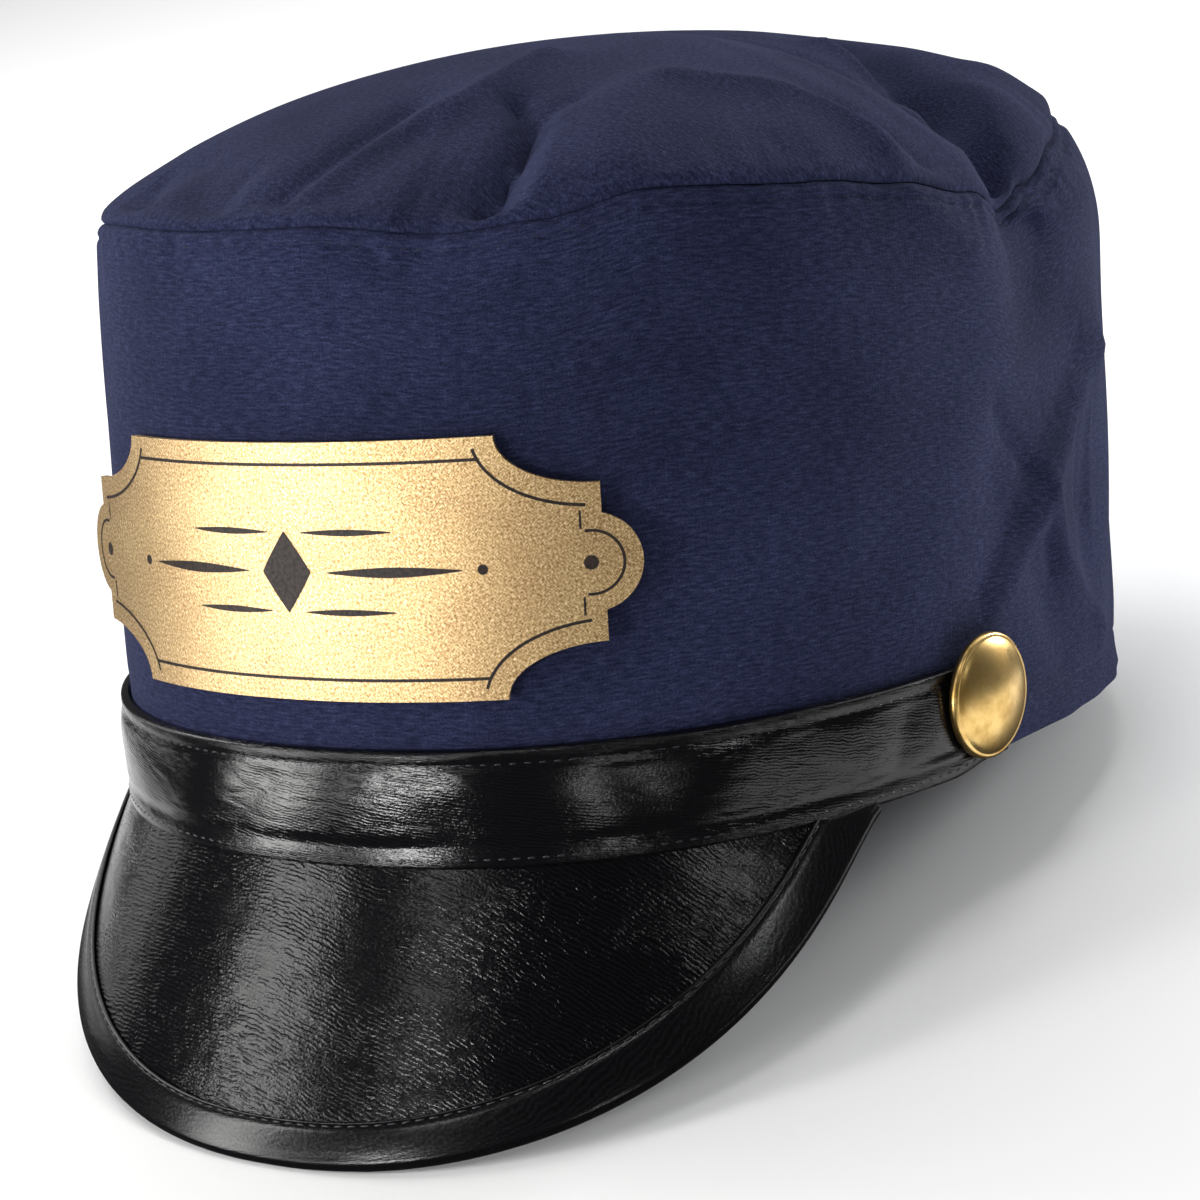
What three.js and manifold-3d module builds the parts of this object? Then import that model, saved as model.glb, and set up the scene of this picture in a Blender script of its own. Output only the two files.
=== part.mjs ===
import * as THREE from 'three';
import { mergeVertices } from 'three/addons/utils/BufferGeometryUtils.js';
import Module from 'manifold-3d';

// A conductor's cap: soft cloth crown, stiff vinyl peak, front strap with two buttons, gold badge.
// Sizes in millimetres, angles in degrees. The cap is worked out on its own base plane with the
// front towards -Y and the hem at height 0, then leaned back until it stands on peak and rear hem.

// Crown in plan: a rounded oval.
const frontReach = 107;
const backReach = 94;
const halfWidth = 83;
const ovalPower = 2.2;
const crownHeight = 100;
const wallThickness = 2.2;
const backwardLean = 0.039;
const outwardTaper = 0.0075;
const hemWave = 0.75;
const hemWaveFade = 60;
const hemFlare = 1.2;
const hemFlareHeight = 6;
const shoulderPower = 7;

// Seam between wall and top panel.
const seamClearance = 0.3;
const seamAllowance = 6;
const topThickness = 1.5;
const topRimWidth = 2.4;
const domeRise = 24;
const domePower = 0.75;

// Depth and width that the fold tables take shares of.
const wallFoldDepth = 2.6;
const wallFoldWidth = 9;
const topFoldDepth = 4;
const topFoldWidth = 10;

// Peak and its folded edge.
const peakHalfAngle = 51.1;
const peakLength = 46.5;
const peakEndLength = 2.5;
const peakSlope = 66.8;
const peakCamber = 0.5;
const peakCurvePower = 2.18;
const peakThickness = 1.4;
const peakRootOut = 1.4;
const flangeHeight = 8;
const pieceClearance = 0.3;
const bindingWidth = 7.6;
const bindingFrontWidth = 5.8;
const bindingThickness = 0.8;
const bindingWrap = 1.3;
const bindingStart = 1.3;

// Front strap.
const strapHeight = 17.5;
const strapThickness = 1.7;
const strapEdgeRound = 0.6;
const strapEndAngle = 73.5;

// Buttons.
const buttonAngle = 68.6;
const buttonHeight = 11.5;
const buttonRadius = 10.5;
const buttonDome = 4.4;
const shankRadius = 1.9;

// Badge.
const badgeHeight = 45.3;
const badgeHalfHeight = 20.1;
const badgeLedgeHalf = 51.0;
const badgeCornerReach = 15.3;
const badgeLedgeHeight = 12.1;
const badgeEarRadius = 7.6;
const badgeEarInset = 1.9;
const badgeThickness = 1.2;
const badgeGap = 0.4;
const badgeEndGap = 2.6;

// Steps of the faceting.
const aroundSteps = 80;
const peakSteps = 36;
const bindingSteps = 44;
const strapSteps = 60;
const buttonSteps = 24;

const restSink = 0.7;

// Seam of the top: angle from the front towards the wearer's left, height and inward pull as
// shares of the crown height.
const seamPath = [
  { angle: -180, height: 1.02, pull: 0.08 },
  { angle: -120, height: 0.99, pull: 0.06 },
  { angle: -60, height: 0.975, pull: 0.03 },
  { angle: -24, height: 0.99, pull: 0.01 },
  { angle: -8, height: 0.98, pull: 0.01 },
  { angle: 3, height: 0.98, pull: 0.01 },
  { angle: 16, height: 0.956, pull: 0.01 },
  { angle: 24, height: 0.968, pull: 0.01 },
  { angle: 33, height: 1.0, pull: 0.01 },
  { angle: 50, height: 0.985, pull: 0.012 },
  { angle: 60, height: 0.968, pull: 0.015 },
  { angle: 73, height: 0.937, pull: 0.018 },
  { angle: 86, height: 0.892, pull: 0.03 },
  { angle: 93, height: 0.927, pull: 0.055 },
  { angle: 106, height: 0.985, pull: 0.085 },
  { angle: 124, height: 1.04, pull: 0.1 },
  { angle: 150, height: 1.035, pull: 0.092 },
  { angle: 180, height: 1.02, pull: 0.08 },
];

// Folds of the wall: a line from one angle and share of the height to another. Depth and width
// are shares of the wall's fold sizes; a negative depth is a ridge.
const wallFolds = [
  { fromAngle: 11, fromHeight: 0.9, toAngle: 9, toHeight: 0.86, depth: 0.4, width: 0.8 },
  { fromAngle: 16, fromHeight: 0.93, toAngle: 14, toHeight: 0.9, depth: 0.5, width: 0.8 },
  { fromAngle: 86, fromHeight: 0.88, toAngle: 87, toHeight: 0.78, depth: 0.9, width: 1.2 },
  { fromAngle: 113, fromHeight: 0.67, toAngle: 87, toHeight: 0.42, depth: -0.7, width: 0.8 },
  { fromAngle: 87, fromHeight: 0.42, toAngle: 73, toHeight: 0.25, depth: -0.7, width: 0.8 },
  { fromAngle: 96, fromHeight: 0.66, toAngle: 76, toHeight: 0.46, depth: 0.5, width: 0.8 },
  { fromAngle: 87, fromHeight: 0.42, toAngle: 105, toHeight: 0.12, depth: -0.5, width: 0.7 },
  { fromAngle: 82, fromHeight: 0.3, toAngle: 92, toHeight: 0.12, depth: 0.5, width: 0.7 },
  { fromAngle: 103, fromHeight: 0.58, toAngle: 101, toHeight: 0.28, depth: 0.4, width: 0.6 },
  { fromAngle: 104, fromHeight: 0.93, toAngle: 124, toHeight: 0.9, depth: -0.7, width: 1.5 },
  { fromAngle: 140, fromHeight: 0.84, toAngle: 152, toHeight: 0.5, depth: 0.5, width: 0.9 },
  { fromAngle: 170, fromHeight: 0.9, toAngle: 178, toHeight: 0.62, depth: 0.4, width: 0.9 },
  { fromAngle: -152, fromHeight: 0.88, toAngle: -140, toHeight: 0.52, depth: 0.5, width: 1 },
  { fromAngle: -112, fromHeight: 0.8, toAngle: -98, toHeight: 0.36, depth: 0.5, width: 0.9 },
  { fromAngle: -92, fromHeight: 0.62, toAngle: -108, toHeight: 0.2, depth: 0.4, width: 0.8 },
  { fromAngle: -66, fromHeight: 0.93, toAngle: -70, toHeight: 0.74, depth: 0.4, width: 0.8 },
];

// Folds of the top panel: a line from one angle and share of the radius to another.
const topFolds = [
  { fromAngle: 3, fromRadius: 0.97, toAngle: 6.5, toRadius: 0.79, depth: 0.6, width: 0.6 },
  { fromAngle: 19.5, fromRadius: 0.97, toAngle: 21.5, toRadius: 0.8, depth: 0.95, width: 0.65 },
  { fromAngle: 28, fromRadius: 0.93, toAngle: 30, toRadius: 0.76, depth: -0.35, width: 0.8 },
  { fromAngle: -10, fromRadius: 0.97, toAngle: -14, toRadius: 0.88, depth: 0.4, width: 0.5 },
  { fromAngle: -23, fromRadius: 0.96, toAngle: -20, toRadius: 0.86, depth: 0.4, width: 0.5 },
  { fromAngle: 122, fromRadius: 0.5, toAngle: 97, toRadius: 0.7, depth: 0.8, width: 0.9 },
  { fromAngle: 97, fromRadius: 0.7, toAngle: 87, toRadius: 0.93, depth: 1, width: 0.8 },
  { fromAngle: 104, fromRadius: 0.52, toAngle: 88, toRadius: 0.78, depth: -0.6, width: 0.8 },
  { fromAngle: 42, fromRadius: 0.7, toAngle: 60, toRadius: 0.88, depth: -0.5, width: 0.7 },
  { fromAngle: 96, fromRadius: 0.9, toAngle: 116, toRadius: 0.86, depth: -0.6, width: 0.8 },
  { fromAngle: 146, fromRadius: 0.95, toAngle: 150, toRadius: 0.74, depth: 0.5, width: 0.8 },
  { fromAngle: 176, fromRadius: 0.96, toAngle: 168, toRadius: 0.76, depth: 0.6, width: 0.8 },
  { fromAngle: -150, fromRadius: 0.96, toAngle: -146, toRadius: 0.74, depth: 0.55, width: 0.8 },
  { fromAngle: -116, fromRadius: 0.96, toAngle: -110, toRadius: 0.72, depth: 0.6, width: 0.9 },
  { fromAngle: -84, fromRadius: 0.95, toAngle: -92, toRadius: 0.76, depth: 0.5, width: 0.8 },
  { fromAngle: -52, fromRadius: 0.96, toAngle: -46, toRadius: 0.78, depth: 0.5, width: 0.7 },
];

// Heights of the wall's rows as shares of its height, and rings of the top as shares of the radius.
const wallRows = [0, 0.07, 0.19, 0.31, 0.43, 0.55, 0.67, 0.79, 0.89, 0.96, 1];
const wallInnerRows = [0.95, 0.89, 0.79, 0.67, 0.43, 0.19, 0];
const topRings = [1, 0.98, 0.93, 0.86, 0.77, 0.65, 0.5, 0.33, 0.16];
const topInnerRings = [0.16, 0.33, 0.5, 0.65, 0.77, 0.86, 0.93];
const peakRows = [0, 0.06, 0.22, 0.45, 0.7, 0.9, 1];

const radians = (angle) => (angle * Math.PI) / 180;

function smoothStep(start, end, value) {
  const share = Math.min(1, Math.max(0, (value - start) / (end - start)));
  return share * share * (3 - 2 * share);
}

function ease(from, to, share) {
  return from + (to - from) * smoothStep(0, 1, share);
}

// Seam height and pull at an angle, smoothly between the rows of the table.
function seamAt(angle) {
  const wrapped = ((((angle + 180) % 360) + 360) % 360) - 180;
  let row = 0;
  while (row < seamPath.length - 2 && seamPath[row + 1].angle < wrapped) row += 1;
  const low = seamPath[row];
  const high = seamPath[row + 1];
  const share = (wrapped - low.angle) / (high.angle - low.angle);
  return {
    height: crownHeight * ease(low.height, high.height, share),
    pull: crownHeight * ease(low.pull, high.pull, share),
  };
}

// Sum of a table of folds at a point, each fading with the distance from its line.
function foldSum(folds, foldDepth, foldWidth, ends, point) {
  let sum = 0;
  folds.forEach((fold, index) => {
    const [start, end] = ends[index];
    const along = end.clone().sub(start);
    const share = Math.min(1, Math.max(0, point.clone().sub(start).dot(along) / along.lengthSq()));
    const distance = point.distanceTo(start.clone().addScaledVector(along, share));
    const reach = distance / (fold.width * foldWidth);
    sum += fold.depth * foldDepth * Math.exp(-reach * reach);
  });
  return sum;
}

const meanRadius = (frontReach + backReach + 2 * halfWidth) / 4;

function unrolled(angle, height) {
  return new THREE.Vector2(radians(angle) * meanRadius, height);
}

const wallFoldEnds = wallFolds.map((fold) => [
  unrolled(fold.fromAngle, fold.fromHeight * crownHeight),
  unrolled(fold.toAngle, fold.toHeight * crownHeight),
]);

function planPoint(angle, radius) {
  return new THREE.Vector2(Math.sin(radians(angle)), -Math.cos(radians(angle)))
    .multiplyScalar(radius * meanRadius);
}

const topFoldEnds = topFolds.map((fold) => [
  planPoint(fold.fromAngle, fold.fromRadius),
  planPoint(fold.toAngle, fold.toRadius),
]);

// Folds stop above the strap and at the badge, where cloth lies flat behind them.
function wallFold(angle, height) {
  const guard = 1 - smoothStep(strapEndAngle + 4, strapEndAngle + 14, Math.abs(angle));
  const clear = smoothStep(strapHeight, strapHeight + wallFoldWidth, height);
  const strength = 1 - guard * (1 - clear);
  const point = unrolled(angle, height);
  return strength * foldSum(wallFolds, wallFoldDepth, wallFoldWidth, wallFoldEnds, point);
}

// A point at an angle, a height above the base plane and a distance out from the plain oval.
function ovalPoint(angle, height, out) {
  const widen = outwardTaper * height;
  const side = Math.sin(radians(angle));
  const ahead = Math.cos(radians(angle));
  const across = halfWidth + widen;
  const along = (ahead > 0 ? frontReach : backReach) + widen;
  const reach = (Math.abs(side) / across) ** ovalPower + (Math.abs(ahead) / along) ** ovalPower;
  const radius = reach ** (-1 / ovalPower);
  const x = radius * side;
  const y = -radius * ahead;
  const normal = ovalNormal(x, y, across, along);
  const wave = hemWave * Math.cos(2 * radians(angle)) * Math.exp(-height / hemWaveFade);
  return new THREE.Vector3(
    x + out * normal.x,
    y + out * normal.y + backwardLean * height,
    height - wave,
  );
}

function ovalNormal(x, y, across, along) {
  const power = ovalPower - 1;
  return new THREE.Vector3(
    (Math.sign(x) * (Math.abs(x) / across) ** power) / across,
    (Math.sign(y) * (Math.abs(y) / along) ** power) / along,
    0,
  ).normalize();
}

function outwardAt(angle) {
  const near = ovalPoint(angle, 0, 0);
  return ovalPoint(angle, 0, 1).sub(near).setZ(0).normalize();
}

// Outer face of the wall at a share of its height; depth goes inwards.
function wallPoint(angle, share, depth) {
  const seam = seamAt(angle);
  const height = share * seam.height;
  const pulled = seam.pull * share ** shoulderPower;
  const flared = smoothStep(strapEndAngle + 4, strapEndAngle + 20, Math.abs(angle));
  const flare = flared * hemFlare * Math.exp(-height / hemFlareHeight);
  return ovalPoint(angle, height, flare - pulled - wallFold(angle, height) - depth);
}

// Closed body from rows of points; each row is a ring of the body and the rows join in order.
function bodyFrom(rows, ringClosed, rowsClosed, capShape) {
  const positions = [];
  const indices = [];
  const size = rows[0].length;
  rows.forEach((row) => row.forEach((point) => positions.push(point.x, point.y, point.z)));
  const at = (row, column) => (row % rows.length) * size + (column % size);
  const addTriangle = (first, second, third) => {
    const corners = [first, second, third].map((index) =>
      positions.slice(3 * index, 3 * index + 3).map((value) => value.toFixed(4)).join());
    if (new Set(corners).size === 3) indices.push(first, second, third);
  };
  const rowCount = rowsClosed ? rows.length : rows.length - 1;
  const columnCount = ringClosed ? size : size - 1;
  for (let row = 0; row < rowCount; row += 1) {
    for (let column = 0; column < columnCount; column += 1) {
      addTriangle(at(row, column), at(row, column + 1), at(row + 1, column + 1));
      addTriangle(at(row, column), at(row + 1, column + 1), at(row + 1, column));
    }
  }
  if (capShape) {
    const last = rows.length - 1;
    THREE.ShapeUtils.triangulateShape(capShape, []).forEach(([first, second, third]) => {
      addTriangle(at(0, first), at(0, second), at(0, third));
      addTriangle(at(last, third), at(last, second), at(last, first));
    });
  }
  return facingOut(positions, indices);
}

// Every body gets its faces turned outwards, judged by the sign of its volume.
function facingOut(positions, indices) {
  let volume = 0;
  const corner = (index) => new THREE.Vector3(...positions.slice(3 * index, 3 * index + 3));
  for (let start = 0; start < indices.length; start += 3) {
    const [first, second, third] = indices.slice(start, start + 3).map(corner);
    volume += first.dot(second.cross(third));
  }
  if (volume < 0) {
    for (let start = 0; start < indices.length; start += 3) {
      [indices[start], indices[start + 1]] = [indices[start + 1], indices[start]];
    }
  }
  const geometry = new THREE.BufferGeometry();
  geometry.setAttribute('position', new THREE.Float32BufferAttribute(positions, 3));
  geometry.setIndex(indices);
  return geometry;
}

const aroundAngles = Array.from(
  { length: aroundSteps },
  (_, step) => -180 + (360 * step) / aroundSteps,
);

// Wall: outer face, seam allowance turned in at the top, inner face.
function wallSection(angle) {
  const lipDepth = seamAllowance;
  const drop = new THREE.Vector3(0, 0, wallThickness * 0.8);
  return [
    ...wallRows.map((share) => wallPoint(angle, share, 0)),
    wallPoint(angle, 1, lipDepth),
    wallPoint(angle, 1, lipDepth).sub(drop),
    wallPoint(angle, 1, wallThickness).sub(drop),
    ...wallInnerRows.map((share) => wallPoint(angle, share, wallThickness)),
  ];
}

const centreLean = backwardLean * crownHeight;

// Height of the top panel above the base plane at an angle and a share of the radius.
function topHeight(angle, ring) {
  const seam = wallPoint(angle, 1, 0).z;
  const base = crownHeight + (seam - crownHeight) * ring * ring;
  const rise = domeRise * (1 - ring * ring) ** domePower;
  const fade = smoothStep(1, 0.94, ring);
  const folded = foldSum(topFolds, topFoldDepth, topFoldWidth, topFoldEnds, planPoint(angle, ring));
  return base + seamClearance + rise - fade * folded;
}

function topPoint(angle, ring, depth) {
  const rim = wallPoint(angle, 1, 0);
  const x = ring * rim.x;
  const y = centreLean + ring * (rim.y - centreLean);
  return new THREE.Vector3(x, y, topHeight(angle, ring) - depth);
}

// Top panel: under its rim it meets the seam allowance, inside it follows the outer face.
function topSection(angle) {
  const rim = wallPoint(angle, 1, 0);
  const innerRing = 1 - topRimWidth / Math.hypot(rim.x, rim.y - centreLean);
  const innerRim = topPoint(angle, innerRing, 0).setZ(rim.z + seamClearance);
  return [
    topPoint(0, 0, topThickness),
    ...topInnerRings.map((ring) => topPoint(angle, ring, topThickness * (1 + 0.3 * ring ** 4))),
    innerRim,
    ...topRings.map((ring) => topPoint(angle, ring, 0)),
    topPoint(0, 0, 0),
  ];
}

// Face of the peak at a distance down from its root line; rise lifts off the face.
function peakPoint(angle, down, rise) {
  const outward = outwardAt(angle);
  const root = ovalPoint(angle, 0, peakRootOut);
  root.z -= pieceClearance;
  const slope = radians(peakSlope);
  const share = down / peakLength;
  const bulge = peakCamber * 4 * share * (1 - share) + rise;
  return root
    .addScaledVector(outward, down * Math.cos(slope) + bulge * Math.sin(slope))
    .add(new THREE.Vector3(0, 0, -down * Math.sin(slope) + bulge * Math.cos(slope)));
}

function peakReachAt(angle) {
  const share = Math.min(1, Math.abs(angle) / peakHalfAngle);
  return peakEndLength + (peakLength - peakEndLength) * (1 - share ** peakCurvePower);
}

// The peak passes under the hem and turns up inside the wall as a flange.
function peakSection(angle) {
  const reach = peakReachAt(angle);
  const flangeIn = wallThickness + pieceClearance;
  const under = new THREE.Vector3(0, 0, pieceClearance);
  const web = new THREE.Vector3(0, 0, pieceClearance + peakThickness);
  const outer = peakRows.map((share) => peakPoint(angle, share * reach, 0));
  const inner = peakRows.slice(1).map((share) => peakPoint(angle, share * reach, -peakThickness));
  return [
    ovalPoint(angle, flangeHeight, -flangeIn - peakThickness),
    ovalPoint(angle, flangeHeight, -flangeIn),
    ovalPoint(angle, 0, -flangeIn).sub(under),
    ...outer,
    ...inner.reverse(),
    ovalPoint(angle, 0, 0).sub(web),
    ovalPoint(angle, 0, -flangeIn - peakThickness).sub(web),
  ];
}

// The section drawn flat, only to fill the two end faces.
function flatSection(points, outward, origin) {
  return points.map((point) => {
    const offset = point.clone().sub(origin);
    return new THREE.Vector2(offset.dot(outward), offset.z);
  });
}

// Folded edge: a U round the peak's edge, its legs no longer than the peak leaves room for.
const bindingTop = pieceClearance + bindingThickness;
const bindingUnder = -peakThickness - pieceClearance;
const bindingNose = -pieceClearance - bindingWrap;
const bindingShape = [
  { leg: 1, past: 0, rise: pieceClearance },
  { leg: 1, past: 0, rise: bindingTop * 0.8 },
  { leg: 0.86, past: 0, rise: bindingTop },
  { leg: 0, past: 0, rise: bindingTop },
  { leg: 0, past: bindingNose * 0.8, rise: bindingTop * 0.4 },
  { leg: 0, past: bindingNose, rise: -peakThickness / 2 },
  { leg: 0, past: bindingNose * 0.8, rise: -peakThickness - bindingTop * 0.4 },
  { leg: 0, past: 0, rise: bindingUnder - bindingThickness },
  { leg: 1, past: 0, rise: bindingUnder - bindingThickness },
  { leg: 1, past: 0, rise: bindingUnder },
  { leg: 0, past: -pieceClearance, rise: bindingUnder },
  { leg: 0, past: -pieceClearance, rise: pieceClearance },
];

function bindingSection(angle) {
  const small = 0.05;
  const reach = peakReachAt(angle);
  const behind = peakPoint(angle - small, peakReachAt(angle - small), 0);
  const edge = peakPoint(angle + small, peakReachAt(angle + small), 0).sub(behind).normalize();
  const level = peakPoint(angle + small, reach, 0).sub(peakPoint(angle - small, reach, 0));
  const perDegree = level.length() / (2 * small);
  const sideways = level.normalize();
  const downwards = peakPoint(angle, reach + small, 0).sub(peakPoint(angle, reach, 0)).normalize();
  const inSide = edge.dot(downwards);
  const inDown = -edge.dot(sideways);
  const legRoom = (reach - bindingStart) / Math.max(small, -inDown);
  const sideShare = smoothStep(0.1, 0.7, Math.abs(angle) / peakHalfAngle);
  const width = bindingFrontWidth + (bindingWidth - bindingFrontWidth) * sideShare;
  const leg = Math.min(width, legRoom);
  return bindingShape.map((corner) => {
    const distance = corner.leg * leg + corner.past;
    const turned = angle + (distance * inSide) / perDegree;
    return peakPoint(turned, reach + distance * inDown, corner.rise);
  });
}

// Strap: two plies with rounded edges, lying round the front of the wall.
const strapInset = 2.2;
const strapShape = [
  { height: strapEdgeRound, out: 0 },
  { height: strapHeight - strapEdgeRound, out: 0 },
  { height: strapHeight, out: strapThickness * 0.4 },
  { height: strapHeight - strapEdgeRound * 0.4, out: strapThickness * 0.8 },
  { height: strapHeight - strapInset, out: strapThickness },
  { height: strapInset, out: strapThickness },
  { height: strapEdgeRound * 0.4, out: strapThickness * 0.8 },
  { height: 0, out: strapThickness * 0.4 },
];

function strapSection(angle) {
  return strapShape.map((corner) => ovalPoint(angle, corner.height, pieceClearance + corner.out));
}

function sweepAngles(halfAngle, steps) {
  return Array.from({ length: steps + 1 }, (_, step) => -halfAngle + (2 * halfAngle * step) / steps);
}

// Badge outline as columns: half height of the plate at a distance from its middle.
const badgeFlatHalf = badgeLedgeHalf - badgeCornerReach;
const badgeEarCentre = badgeLedgeHalf - badgeEarInset;

function badgeHalfAt(distance) {
  if (distance <= badgeFlatHalf) return badgeHalfHeight;
  const share = (badgeLedgeHalf - distance) / (badgeLedgeHalf - badgeFlatHalf);
  const fall = badgeHalfHeight - badgeLedgeHeight;
  return badgeHalfHeight - fall * Math.sqrt(Math.max(0, 1 - share * share));
}

function earHalfAt(distance) {
  const offset = distance - badgeEarCentre;
  return Math.sqrt(Math.max(0, badgeEarRadius * badgeEarRadius - offset * offset));
}

const arcStep = 0.25;
const arcTable = [{ angle: 0, arc: 0 }];
while (arcTable.at(-1).arc < badgeLedgeHalf + 2 * badgeEarRadius) {
  const { angle, arc } = arcTable.at(-1);
  const near = ovalPoint(angle, badgeHeight, badgeGap);
  const next = ovalPoint(angle + arcStep, badgeHeight, badgeGap);
  arcTable.push({ angle: angle + arcStep, arc: arc + next.distanceTo(near) });
}

function angleAtArc(arc) {
  const past = arcTable.findIndex((entry) => entry.arc > Math.abs(arc));
  const low = arcTable[past - 1];
  const high = arcTable[past];
  const share = (Math.abs(arc) - low.arc) / (high.arc - low.arc);
  return Math.sign(arc) * (low.angle + share * (high.angle - low.angle));
}

function badgePoint(arc, rise, out) {
  const tip = badgeEarCentre + badgeEarRadius;
  const gap = badgeGap + (badgeEndGap - badgeGap) * (Math.abs(arc) / tip) ** 4;
  return ovalPoint(angleAtArc(arc), badgeHeight + rise, gap + out);
}

// Plate of the badge: strips of front and back faces, joined along every open edge.
function makeBadge() {
  const ledgeEar = earHalfAt(badgeLedgeHalf);
  const flatSteps = 12;
  const cornerSteps = 9;
  const earSteps = 8;
  const columns = [];
  for (let step = 0; step <= flatSteps; step += 1) {
    columns.push((badgeFlatHalf * step) / flatSteps);
  }
  for (let step = 1; step <= cornerSteps; step += 1) {
    const turn = (Math.PI / 2) * (step / cornerSteps);
    columns.push(badgeLedgeHalf - (badgeLedgeHalf - badgeFlatHalf) * Math.cos(turn));
  }
  const mirrored = [...columns.slice(1).reverse().map((arc) => -arc), ...columns];
  const earTurn = Math.acos((badgeLedgeHalf - badgeEarCentre) / badgeEarRadius);
  const earColumns = Array.from(
    { length: earSteps },
    (_, step) => badgeEarCentre + badgeEarRadius * Math.cos(earTurn * (1 - (step + 1) / earSteps)),
  );
  const points = [];
  const faces = [];
  const addPoint = (arc, rise) => {
    const key = points.findIndex((p) => Math.hypot(p.arc - arc, p.rise - rise) < 1e-6);
    if (key >= 0) return key;
    points.push({ arc, rise });
    return points.length - 1;
  };
  const addQuad = (corners) => {
    const [first, second, third, fourth] = corners.map(([arc, rise]) => addPoint(arc, rise));
    if (new Set([first, second, third]).size === 3) faces.push([first, second, third]);
    if (new Set([first, third, fourth]).size === 3) faces.push([first, third, fourth]);
  };
  for (let index = 0; index < mirrored.length - 1; index += 1) {
    const left = mirrored[index];
    const right = mirrored[index + 1];
    const leftHalf = badgeHalfAt(Math.abs(left));
    const rightHalf = badgeHalfAt(Math.abs(right));
    [[-1, leftHalf, rightHalf], [1, leftHalf, rightHalf]].forEach(([sign, nearHalf, farHalf]) => {
      const outer = [[left, sign * nearHalf], [right, sign * farHalf]];
      const inner = [[right, sign * ledgeEar], [left, sign * ledgeEar]];
      addQuad(sign > 0 ? [...outer, ...inner].reverse() : [...outer, ...inner]);
    });
    addQuad([[left, -ledgeEar], [right, -ledgeEar], [right, ledgeEar], [left, ledgeEar]]);
  }
  [-1, 1].forEach((sign) => {
    let near = badgeLedgeHalf;
    earColumns.forEach((far) => {
      const nearHalf = near === badgeLedgeHalf ? ledgeEar : earHalfAt(near);
      const quad = [
        [sign * near, -nearHalf],
        [sign * far, -earHalfAt(far)],
        [sign * far, earHalfAt(far)],
        [sign * near, nearHalf],
      ];
      addQuad(sign > 0 ? quad : quad.reverse());
      near = far;
    });
  });
  return plateFrom(points, faces);
}

function plateFrom(points, faces) {
  const count = points.length;
  const front = points.map(({ arc, rise }) => badgePoint(arc, rise, badgeThickness));
  const back = points.map(({ arc, rise }) => badgePoint(arc, rise, 0));
  const positions = [...front, ...back].flatMap((point) => [point.x, point.y, point.z]);
  const indices = [];
  const edges = new Map();
  faces.forEach((face) => {
    indices.push(...face, ...face.map((index) => index + count).reverse());
    face.forEach((from, place) => {
      const to = face[(place + 1) % 3];
      if (edges.has(`${to},${from}`)) edges.delete(`${to},${from}`);
      else edges.set(`${from},${to}`, [from, to]);
    });
  });
  edges.forEach(([from, to]) => {
    indices.push(to, from, from + count, to, from + count, to + count);
  });
  return facingOut(positions, indices);
}

// Button: shank, back plate, stepped rim and dome, turned on its own axis.
function buttonProfile() {
  const seat = strapThickness + 2 * pieceClearance;
  const rimHeight = 1.9;
  const stepRadius = buttonRadius * 0.86;
  const domeSteps = 5;
  const profile = [
    new THREE.Vector2(0, -seat - wallThickness + pieceClearance),
    new THREE.Vector2(shankRadius, -seat - wallThickness + pieceClearance),
    new THREE.Vector2(shankRadius, 0),
    new THREE.Vector2(buttonRadius * 0.92, 0),
    new THREE.Vector2(buttonRadius, rimHeight * 0.4),
    new THREE.Vector2(buttonRadius * 0.985, rimHeight * 0.8),
    new THREE.Vector2(buttonRadius * 0.93, rimHeight),
    new THREE.Vector2(stepRadius, rimHeight * 0.95),
  ];
  for (let step = 1; step <= domeSteps; step += 1) {
    const share = 1 - step / domeSteps;
    const height = rimHeight + (buttonDome - rimHeight) * (1 - share ** 2.4);
    profile.push(new THREE.Vector2(stepRadius * share, height));
  }
  return profile;
}

function placeOnWall(geometry, sign) {
  const outward = outwardAt(sign * buttonAngle);
  const seat = pieceClearance * 2 + strapThickness;
  const turn = new THREE.Quaternion().setFromUnitVectors(new THREE.Vector3(0, 1, 0), outward);
  const place = ovalPoint(sign * buttonAngle, buttonHeight, 0).addScaledVector(outward, seat);
  return geometry.applyQuaternion(turn).translate(place.x, place.y, place.z);
}

function makeButton(sign) {
  return placeOnWall(new THREE.LatheGeometry(buttonProfile(), buttonSteps), sign);
}

function makeHole(sign) {
  const depth = 6 * wallThickness;
  const hole = new THREE.CylinderGeometry(
    shankRadius + pieceClearance,
    shankRadius + pieceClearance,
    depth,
    buttonSteps / 2,
  );
  return placeOnWall(hole, sign);
}

const wasm = await Module();
wasm.setup();

function toSolid(geometry) {
  const plain = geometry.clone();
  plain.deleteAttribute('normal');
  plain.deleteAttribute('uv');
  const welded = mergeVertices(plain, 1e-4);
  return new wasm.Manifold(new wasm.Mesh({
    numProp: 3,
    vertProperties: new Float32Array(welded.attributes.position.array),
    triVerts: new Uint32Array(welded.index.array),
  }));
}

function fromSolid(solid) {
  const mesh = solid.getMesh();
  const geometry = new THREE.BufferGeometry();
  const positions = new THREE.BufferAttribute(new Float32Array(mesh.vertProperties), 3);
  geometry.setAttribute('position', positions);
  geometry.setIndex(new THREE.BufferAttribute(new Uint32Array(mesh.triVerts), 1));
  return geometry;
}

function withShankHoles(geometry) {
  let solid = toSolid(geometry);
  [-1, 1].forEach((sign) => {
    solid = solid.subtract(toSolid(makeHole(sign)));
  });
  return fromSolid(solid);
}

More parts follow.
